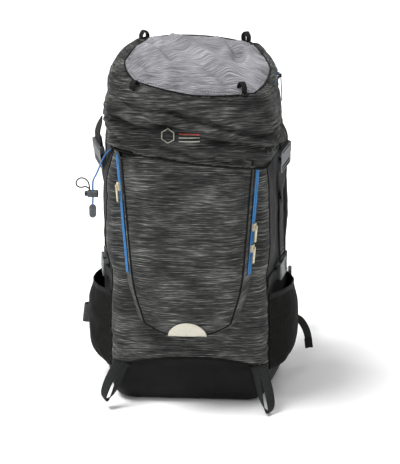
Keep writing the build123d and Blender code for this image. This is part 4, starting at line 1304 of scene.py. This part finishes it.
# lid zips, on the wall at both sides
lidZip = dict(z=0.562, rear=0.062, front=-0.034)
lean = (lid["topHalf"] - lid["half"]) / (lid["highZ"] - lid["lowZ"])
zipParts = []
for side in (-1, 1):
    x = (lid["half"] + lean * (lidZip["z"] - lid["lowZ"])) * (lid["leftDraw"] if side < 0 else 1) - 0.0010
    out = Vector((side, 0, -lean)).normalized()
    across = Vector((side * lean, 0, 1)).normalized()
    ends = [(side * x, lidZip[end], lidZip["z"]) for end in ("rear", "front")]
    zipParts += zipPieces(*ends, across, out, 12 * mm)
finishPiece(mergePieces("lid_zip_tapes", zipParts), "lid", "zip_blue", "lid_zips")

# lash loops on the crown and lid straps
loopParts = []
lashLoops = dict(
    places=((-0.088, 0.074, 42), (0.088, 0.074, -38), (-0.088, -0.104, 30), (0.088, -0.104, -34)),   # x, y, turn
    outline=(
        (-0.013, 0.001),
        (-0.007, 0.002),
        (-0.0075, 0.013),
        (0, 0.0205),
        (0.0075, 0.013),
        (0.007, 0.002),
        (0.013, 0.001),
    ),
)
for x, y, turn in lashLoops["places"]:
    foot = lidSlope(y, lid["crownFront"], lid["crownRear"])
    ahead = Vector((math.sin(math.radians(turn)), math.cos(math.radians(turn)), 0))
    beside = Vector((ahead.y, -ahead.x, 0))
    route = [Vector((x, y, foot + up)) + ahead * along for along, up in lashLoops["outline"]]
    loopParts.append(strap("loop", route, beside, 10 * mm, 1.8 * mm, blackWebbing, 40))
    for dy in (-0.010, 0.010):
        row = [(x + dx, y + dy, foot + 0.0026) for dx in (-0.0045, 0.0045)]
        loopParts.append(stitches("tack", row, upward, paleThread, 2.4 * mm, 2.0 * mm))
finishPiece(mergePieces("lash_loop_webbing", loopParts), "lid", "webbing", "lid_lash_loops")

buckleLine = dict(x=0.158, mouth=(-0.025, 0.433), hinge=(0.102, 0.506), turn=28)
armY = buckleLine["mouth"][0] - buckleLine["hinge"][0]
armZ = buckleLine["mouth"][1] - buckleLine["hinge"][1]
armLength = math.hypot(armY, armZ)
strapUp = Vector((0, armZ / armLength, -armY / armLength))
straightAcross = strapUp.cross(Vector((1, 0, 0)))
buckleTurn = math.radians(buckleLine["turn"])
strapFace = Vector((1, 0, 0)) * math.cos(buckleTurn) - straightAcross * math.sin(buckleTurn)
acrossRight = strapUp.cross(strapFace)


def onSide(side, direction):
    return Vector((direction.x * side, direction.y, direction.z))


def onStrap(side, along, offset):
    base = Vector((side * buckleLine["x"], *buckleLine["mouth"]))
    return base + strapUp * along + onSide(side, strapFace) * offset


lidStraps = []
for side in (-1, 1):
    across = onSide(side, acrossRight)
    flat = onSide(side, straightAcross)
    run = ((0.0235, 0.0), (0.030, 0.0), (0.045, -0.001), (0.062, -0.004), (0.078, -0.011))
    route = [onStrap(side, *place) for place in run]
    turns = [across, across, across, across.lerp(flat, 0.5), flat]
    lidStraps.append(strap("upper", route, turns, 25 * mm, 1.7 * mm, blackWebbing, 40))
    run = ((0.0235, 0.0), (0.0225, -0.003), (0.030, -0.0035), (0.050, -0.003))
    route = [onStrap(side, *place) for place in run]
    lidStraps.append(strap("return", route, across, 25 * mm, 1.6 * mm, blackWebbing, 30))
finishPiece(mergePieces("lid_strap_webbing", lidStraps), "lid", "webbing", "lid_straps")
print("lid straps made")

# webbing down the sides

sideParts = []


def sideStrap(name, route, across, width, thickness, material, samples):
    sideParts.append(strap(name, route, across, width * mm, thickness * mm, material, samples))


for side in (-1, 1):
    run = ((-0.004, -0.0050), (-0.030, -0.0053), (-0.060, -0.0050), (-0.086, -0.0030))
    tail = [onStrap(side, *place) for place in run]
    across = onSide(side, acrossRight)
    flat = onSide(side, straightAcross)
    end = onStrap(side, -0.108, 0.0)
    tail.append(sidePoint(side, end.y, end.z, 0.0032))
    sideStrap("lower", tail, [across, across, across, across.lerp(flat, 0.6), flat], 25, 1.7, webbing, 60)
    down = [sidePoint(side, 0.029, 0.352 - 0.116 * k / 9, 0.0016) for k in range(10)]
    sideStrap("upright", down, Vector((side * flareSlope, 1, 0)).normalized(), 25, 1.7, webbing, 60)
    for z in (0.349, 0.340, 0.246, 0.239):
        row = [sidePoint(side, 0.029 + 0.010 * s, z, 0.0028) for s in (-1, 0, 1)]
        sideParts.append(stitches("bar", row, Vector((side, 0, 0)), paleThread, 2.4 * mm, 2.0 * mm))
    front = (-0.0155, 0.0069), (-0.024, 0.0065), (-0.038, 0.0022), (-0.054, 0.0016), (-0.072, 0.0016)
    rear = (0.012, 0.0018), (0.030, 0.0014), (0.050, 0.0014), (0.071, 0.0014)
    for run in (front, rear):   # either side of the compression buckle
        sideStrap("compression", [sidePoint(side, y, 0.218, lift) for y, lift in run], upward, 20, 1.6, webbing, 50)
folded = (
    (-0.112, 0.1022, 0.092),
    (-0.140, 0.1022, 0.092),
    (-0.166, 0.1000, 0.092),
    (-0.190, 0.092, 0.093),
    (-0.2045, 0.084, 0.094),
    (-0.203, 0.0765, 0.094),
    (-0.190, 0.077, 0.093),
    (-0.180, 0.0815, 0.092),
)
foldTurns = [Vector((0.05, 0, 1))] * 4 + [Vector((0.12, 0, 1))] * 4
sideStrap("stabiliser", folded, foldTurns, 36, 2.0, greyWebbing, 70)
# the long tail on the right, each place with its width's direction
tailRun = (
    ((0.160, 0.0905, 0.089), (0, 0.25, 1)),
    ((0.176, 0.0915, 0.089), (0.1, 0.25, 1)),
    ((0.190, 0.0925, 0.084), (0.6, 0.3, 0.75)),
    ((0.200, 0.0925, 0.070), (0.9, 0.3, 0.4)),
    ((0.206, 0.0920, 0.053), (1, 0.3, 0.1)),
    ((0.209, 0.0915, 0.032), (1, 0.25, 0.05)),
)
sideStrap("stabiliser_tail", [place for place, _ in tailRun], [turn for _, turn in tailRun], 14, 1.7, webbing, 60)
endRoute = (
    (0.2065, 0.0905, 0.048),
    (0.2085, 0.0900, 0.032),
    (0.209, 0.0915, 0.0295),
    (0.2085, 0.0935, 0.032),
    (0.2065, 0.0935, 0.047),
)
sideStrap("folded_end", endRoute, Vector((1, 0.25, 0.1)), 15, 1.8, blackWebbing, 40)
tab = [sidePoint(-1, -0.058, 0.459 - 0.014 * k / 3, 0.0014) for k in range(4)]
sideStrap("cord_tab", tab, Vector((0, 1, 0)), 12, 3.4, webbing, 16)
finishPiece(mergePieces("side_webbing_straps", sideParts), "pack", "webbing", "side_webbing")
print("side webbing made")

# webbing loops at the foot


def footLoop(name, top, foot, seam, turn, body):
    top, foot, seam = Vector(top), Vector(foot), Vector(seam)
    down = foot - top
    side = Vector((math.cos(turn), -math.sin(turn), 0))
    depth = down.cross(side).normalized()
    side = depth.cross(down).normalized()
    legs = []
    for place, spread in ((0.0, 0.0065), (0.3, 0.0078), (0.6, 0.0086), (0.86, 0.0070)):
        legs.append((top + down * place, spread))
    left = [seam - side * 0.010] + [c - side * s for c, s in legs]
    right = [c + side * s for c, s in reversed(legs)] + [seam + side * 0.012]
    route = left + [foot - side * 0.0025, foot + side * 0.0025] + right
    turns = ((1, 0), (1, 0.15), (0.9, 0.4), (0.75, 0.65), (0.5, 0.85), (0.1, 1))
    twist = [side * a + depth * b for a, b in turns] + [side * -a + depth * b for a, b in reversed(turns)]
    finishPiece(strap(name, route, twist, 16.5 * mm, 1.8 * mm, webbing, 110), body, "webbing", body)


footLoop(
    "right_loop_webbing",
    (0.122, -0.114, 0.078),
    (0.140, -0.1355, 0.0055),
    (0.121, -0.1025, 0.079),
    math.radians(20),
    "right_foot_loop",
)
footLoop(
    "left_loop_webbing",
    (-0.118, -0.114, 0.078),
    (-0.143, -0.1295, 0.0185),
    (-0.117, -0.1025, 0.079),
    math.radians(-20),
    "left_foot_loop",
)
print("foot loops made")

# wearer's side

for centre, label in (((-0.049, 0.300), "left"), ((0.049, 0.300), "right"), ((0.0, 0.112), "lumbar")):
    wide = 0.176 if label == "lumbar" else 0.078
    tall = 0.100 if label == "lumbar" else 0.190
    n, m = (44, 26) if label == "lumbar" else (22, 48)
    points = []
    for layer in range(2):
        for r in range(m):
            for c in range(n):
                u, v = 2 * c / (n - 1) - 1, 2 * r / (m - 1) - 1
                s, t = squarePoint(u, v, 0.5)
                rim = max(abs(u), abs(v))
                height = 0.021 * (1 - rim**5) ** 0.6 if rim < 1 else 0.0
                if label == "lumbar":   # two upright channels
                    channel = 0.005 * math.exp(-((abs(s) * wide / 2 - 0.045) / 0.004) ** 2)
                else:   # level channels, 48 mm apart
                    channel = 0.004 * math.exp(-((t * tall / 2 % 0.048 - 0.024) / 0.004) ** 2)
                y = bag["halfDepth"] + 0.0012 + (0 if layer else max(0.0, height - channel * (1 - rim**8)))
                points.append((centre[0] + s * wide / 2, y, centre[1] + t * tall / 2))
    front = [tuple(reversed(f)) for f in gridFaces(m, n)]
    pad = makeMesh(label + "_pad", points[: n * m], front, spacerMesh)
    crumple(pad, rimIndices(m, n), pressure=0.4, grow=0.01, cap=0.003)
    goingRound = list(range(n)) + [r * n + n - 1 for r in range(1, m)]
    goingRound += [(m - 1) * n + c for c in range(n - 2, -1, -1)] + [r * n for r in range(m - 2, 0, -1)]
    rimLine = [points[i] for i in goingRound]
    piping = roundTube("piping", rimLine, 1.8 * mm, binding, 160, closed=True)
    thicken(pad, 1.5 * mm)
    pad = mergePieces(label + "_pad_cover", [pad, piping])
    finishPiece(pad, "pack", "air_mesh", "back_pads")

shoulder = dict(
    top=Vector((0.060, 0.113, 0.438)),
    foot=Vector((0.150, 0.112, 0.048)),
    profile=(
        (0.0, 0.003),
        (0.036, 0.032),
        (0.078, 0.058),
        (0.130, 0.0585),
        (0.180, 0.058),
        (0.212, 0.045),
        (0.240, 0.032),
    ),
    halfWidths=(0.017, 0.0225, 0.029, 0.029, 0.029, 0.024, 0.0185),
    thickness=0.012,
)


def shoulderFrame(side):
    flip = lambda v: Vector((v.x * side, v.y, v.z))
    top, foot = flip(shoulder["top"]), flip(shoulder["foot"])
    down = (foot - top).normalized()
    out = (Vector((0, 1, 0)) - down * down.y).normalized()
    return top, foot, down, out, down.cross(out)


for side, label in ((-1, "left"), (1, "right")):
    top, foot, down, out, across = shoulderFrame(side)
    route = spline([top + down * s + out * h for s, h in shoulder["profile"]], 70)
    halves = [v.x for v in spline([(w, 0, 0) for w in shoulder["halfWidths"]], 70)]
    ringShape = [(math.cos(a), math.sin(a)) for a in [2 * math.pi * k / 28 for k in range(28)]]
    points = []
    for i, centre in enumerate(route):
        direction = (route[min(i + 1, 69)] - route[max(i - 1, 0)]).normalized()
        up = across.cross(direction).normalized()
        if up.dot(out) < 0:
            up = -up
        squeeze = 1.0 if 2 < i < 67 else (0.75 if i in (0, 69) else 0.92)
        for a, b in ringShape:
            x = math.copysign(abs(a) ** 0.55, a) * halves[i]
            z = math.copysign(abs(b) ** 0.8, b) * (shoulder["thickness"] / 2 - 0.0002)
            z = z * squeeze * (0.55 + 0.45 * (1 - abs(a) ** 3))
            points.append(centre + across * x + up * z)
    faces = gridFaces(70, 28, True) + [tuple(reversed(range(28))), tuple(69 * 28 + k for k in range(28))]
    body = makeMesh("strap_foam", points, faces, spacerMesh)
    edges = []
    for sign in (-1, 1):
        edge = [c + across * sign * (h - 0.0003) for c, h in zip(route[::3], halves[::3])]
        edges.append(roundTube("binding", edge, 1.9 * mm, binding, 90, flat=1.0))
    rib = []   # the top webbing's middle line, on the strap's outer face
    outer = 1 if across.cross(down).dot(out) > 0 else -1
    for i, c in enumerate(route):
        along = (route[min(i + 1, 69)] - route[max(i - 1, 0)]).normalized()
        rib.append(c + across.cross(along).normalized() * outer * (shoulder["thickness"] / 2 + 0.0006))
    daisy = strap("top_webbing", rib[4:66:4], across, 20 * mm, 1.2 * mm, blackWebbing, 70)
    piece = mergePieces(label + "_shoulder_pad", [body] + edges + [daisy])
    finishPiece(piece, label + "_shoulder", "air_mesh", label + "_shoulder_strap")
    start = 0.244
    run = [
        (start + 0.006, 0.0285),
        (start + 0.013, 0.0285),
        (start + 0.021, 0.0255),
        (start + 0.038, 0.010),
        (start + 0.054, 0.0032),
        (0.330, 0.0018),
        (0.386, 0.0005),
        (0.400, -0.0008),
    ]
    lower = [top + down * s + out * h for s, h in run]
    parts = [strap("lower", lower, across, 25 * mm, 1.7 * mm, webbing, 90)]
    stub = [(0.232, 0.034), (0.244, 0.0265), (0.2485, 0.0262), (0.2486, 0.0225), (0.240, 0.0255)]
    short = [top + down * s + out * h for s, h in stub]
    parts.append(strap("stub", short, across, 25 * mm, 1.5 * mm, webbing, 40))
    adjuster = mergePieces(label + "_adjuster_webbing", parts)
    finishPiece(adjuster, label + "_shoulder", "webbing", label + "_shoulder_webbing")
    sternumAt = top + down * 0.125 + out * (0.058 + 0.006 + 0.0011)
    inwardSide = across if across.x * side < 0 else -across
    wide = [sternumAt + inwardSide * k * 0.0105 for k in (-3, -2, -1, 0, 1, 2, 3)]
    sternum = strap("sternum", wide, [down] * 7, 18 * mm, 1.5 * mm, blackWebbing, 40)
    finishPiece(sternum, label + "_sternum", "webbing", label + "_sternum_webbing")
    sternum.name = label + "_sternum_band"
print("harness made")

wing = dict(
    low=0.064,
    high=0.140,
    thickness=0.010,
    path=(
        (0.096, 0.116),
        (0.110, 0.1225),
        (0.124, 0.130),
        (0.142, 0.1405),
        (0.158, 0.153),
        (0.1635, 0.174),
        (0.166, 0.196),
    ),
)
for side, label in ((-1, "left"), (1, "right")):
    path = spline([(x * side, y, 0) for x, y in wing["path"]], 60)
    middle = (wing["low"] + wing["high"]) / 2
    points = []
    for i, centre in enumerate(path):
        direction = (path[min(i + 1, 59)] - path[max(i - 1, 0)]).normalized()
        normal = Vector((direction.y, -direction.x, 0)) * side
        share = i / 59
        tall = (wing["high"] - wing["low"]) / 2 * (1 - 0.28 * ease(share, 0.45, 1.0))
        for k in range(28):
            a, b = math.cos(2 * math.pi * k / 28), math.sin(2 * math.pi * k / 28)
            z = math.copysign(abs(a) ** 0.5, a) * tall
            thick = math.copysign(abs(b) ** 0.8, b) * (wing["thickness"] / 2)
            thick = thick * (0.5 + 0.5 * (1 - abs(a) ** 3)) * (0.7 if i in (0, 59) else 1.0)
            points.append(Vector((centre.x, centre.y, middle + z)) + normal * thick)
    faces = gridFaces(60, 28, True) + [tuple(range(28)), tuple(59 * 28 + k for k in reversed(range(28)))]
    if side > 0:
        faces = [tuple(reversed(f)) for f in faces]
    foam = makeMesh("wing_foam", points, faces, spacerMesh)
    edges = []
    for sign in (-1, 1):
        line = []
        for i in range(0, 60, 3):
            tall = (wing["high"] - wing["low"]) / 2 * (1 - 0.28 * ease(i / 59, 0.45, 1.0))
            line.append(Vector((path[i].x, path[i].y, middle + sign * (tall - 0.0004))))
        edges.append(roundTube("binding", line, 1.9 * mm, binding, 80))
    piece = mergePieces(label + "_hip_pad", [foam] + edges)
    finishPiece(piece, label + "_hip", "black_fabric", label + "_hip_wing")
    reach = 0.262 if side > 0 else 0.2385
    lead = [(0.1655, 0.188, 0.0), (0.1656, 0.198, 0.0), (0.1648, 0.206, 0.0), (0.1645, 0.222, 0.0), (0.1645, reach, 0.0)]
    lead = [(x * side, y, middle) for x, y, _ in lead]
    belt = strap(label + "_belt_band", lead, [Vector((0, 0, 1))] * 5, 38 * mm, 2.0 * mm, blackWebbing, 50)
    finishPiece(belt, label + "_hip", "webbing", label + "_belt_webbing")

handle = dict(y=0.110, z=0.466, reach=0.028)
halfBail = [
    (0.068, handle["y"]),
    (0.056, handle["y"]),
    (0.046, 0.1125),
    (0.036, 0.126),
    (0.026, 0.1365),
    (0.008, 0.138),
]
bail = [(-x, y, handle["z"]) for x, y in halfBail]
bail += [(x, y, handle["z"]) for x, y in reversed(halfBail)]
grip = roundTube("grab_handle", bail, 3.9 * mm, blackWebbing, 110, sides=14)
sleeve = roundTube("sleeve", bail[4:8], 4.6 * mm, spacerMesh, 50, sides=16)
finishPiece(mergePieces("grab_handle_webbing", [grip, sleeve]), "haul_handle", "webbing", "haul_handle")
anchors = []
for side in (-1, 1):
    x = side * 0.060
    loop = (
        (0.1018, 0.452),
        (0.1040, 0.4600),
        (0.1100, 0.4606),
        (0.1154, 0.4660),
        (0.1100, 0.4714),
        (0.1045, 0.4708),
        (0.1030, 0.4640),
        (0.1030, 0.4520),
    )
    route = [(x, y, z) for y, z in loop]
    anchors.append(strap("anchor", route, [Vector((1, 0, 0))] * 8, 10 * mm, 1.4 * mm, blackWebbing, 50))
finishPiece(mergePieces("grab_handle_anchors", anchors), "pack", "webbing", "haul_anchors")

# collar and its drawcord

collar = dict(low=0.456, top=0.520, mouthX=0.085, mouthY=0.052, columns=180, rows=22)
points = []
lower = planOutline(0.468)
for r in range(collar["rows"]):
    share = r / (collar["rows"] - 1)
    z = collar["low"] + (collar["top"] - collar["low"]) * share
    for c in range(collar["columns"]):
        angle = 2 * math.pi * c / collar["columns"]
        k = min(len(lower) - 1, int(c / collar["columns"] * len(lower)))
        place, normal, _ = lower[k]
        start = Vector((place.x, place.y, 0)) - Vector((normal.x, normal.y, 0)) * 0.006
        direction = Vector((start.x / 0.13, start.y / 0.094, 0)).normalized()
        mouth = Vector((direction.x * collar["mouthX"] * 0.97, direction.y * collar["mouthY"] * 0.97, 0))
        pull = ease(share, 0.2, 1.0) * 0.92 + 0.08 * share
        point = start.lerp(mouth, pull)
        pleat = 0.0022 * math.sin(angle * 38) * ease(share, 0.35, 0.9)
        point += Vector((direction.x, direction.y, 0)) * (pleat - 0.001)
        points.append((point.x, point.y, z))
collarCloth = makeMesh("collar_skirt", points, gridFaces(collar["rows"], collar["columns"], True), liner)
thicken(collarCloth, 0.9 * mm, 1)
finishPiece(collarCloth, "pack", "black_fabric", "collar")
rimRoute = []
for k in range(40):
    angle = 2 * math.pi * k / 40
    a, b = math.cos(angle), math.sin(angle)
    rimRoute.append((math.copysign(abs(a) ** 0.75, a) * 0.0835, math.copysign(abs(b) ** 0.75, b) * 0.0505, 0.5222))
cordRing = roundTube("mouth_drawcord", rimRoute, 2.0 * mm, blackCord, 200, closed=True)
finishPiece(cordRing, "pack", "cord_black", "collar_drawcord")
print("collar made")

# hard parts that keep their shape

hardParts = {
    "greyAcetal": (
        "lid_buckle_sockets",
        "left_lid_buckle_plug",
        "right_lid_buckle_plug",
        "compression_sockets",
        "left_compression_plug",
        "right_compression_plug",
        "cord_lock_body",
    ),
    "blackAcetal": (
        "cord_lock_plunger",
        "left_ladder_lock",
        "right_ladder_lock",
        "belt_socket",
        "belt_plug",
        "sternum_socket",
        "sternum_plug",
        "lid_zip_slider",
        "lid_zip_pull",
    ),
    "goldEnamel": (
        "left_slider",
        "left_pull",
        "right_upper_slider",
        "right_upper_pull",
        "right_lower_slider",
        "right_lower_pull",
    ),
    "softTag": ("cord_tag",),
    "aluminium": ("frame_stays",),
    "sheetPlastic": ("frame_sheet",),
}
finishes = dict(
    greyAcetal=greyAcetal,
    blackAcetal=blackAcetal,
    goldEnamel=goldEnamel,
    softTag=softTag,
    aluminium=aluminium,
    sheetPlastic=sheetPlastic,
)
for finish, names in hardParts.items():
    for name in names:
        part = nodes[name]
        if not part.material_slots:
            part.data.materials.append(finishes[finish])
        for holder in part.material_slots:
            holder.material = finishes[finish]
print("hard parts finished")
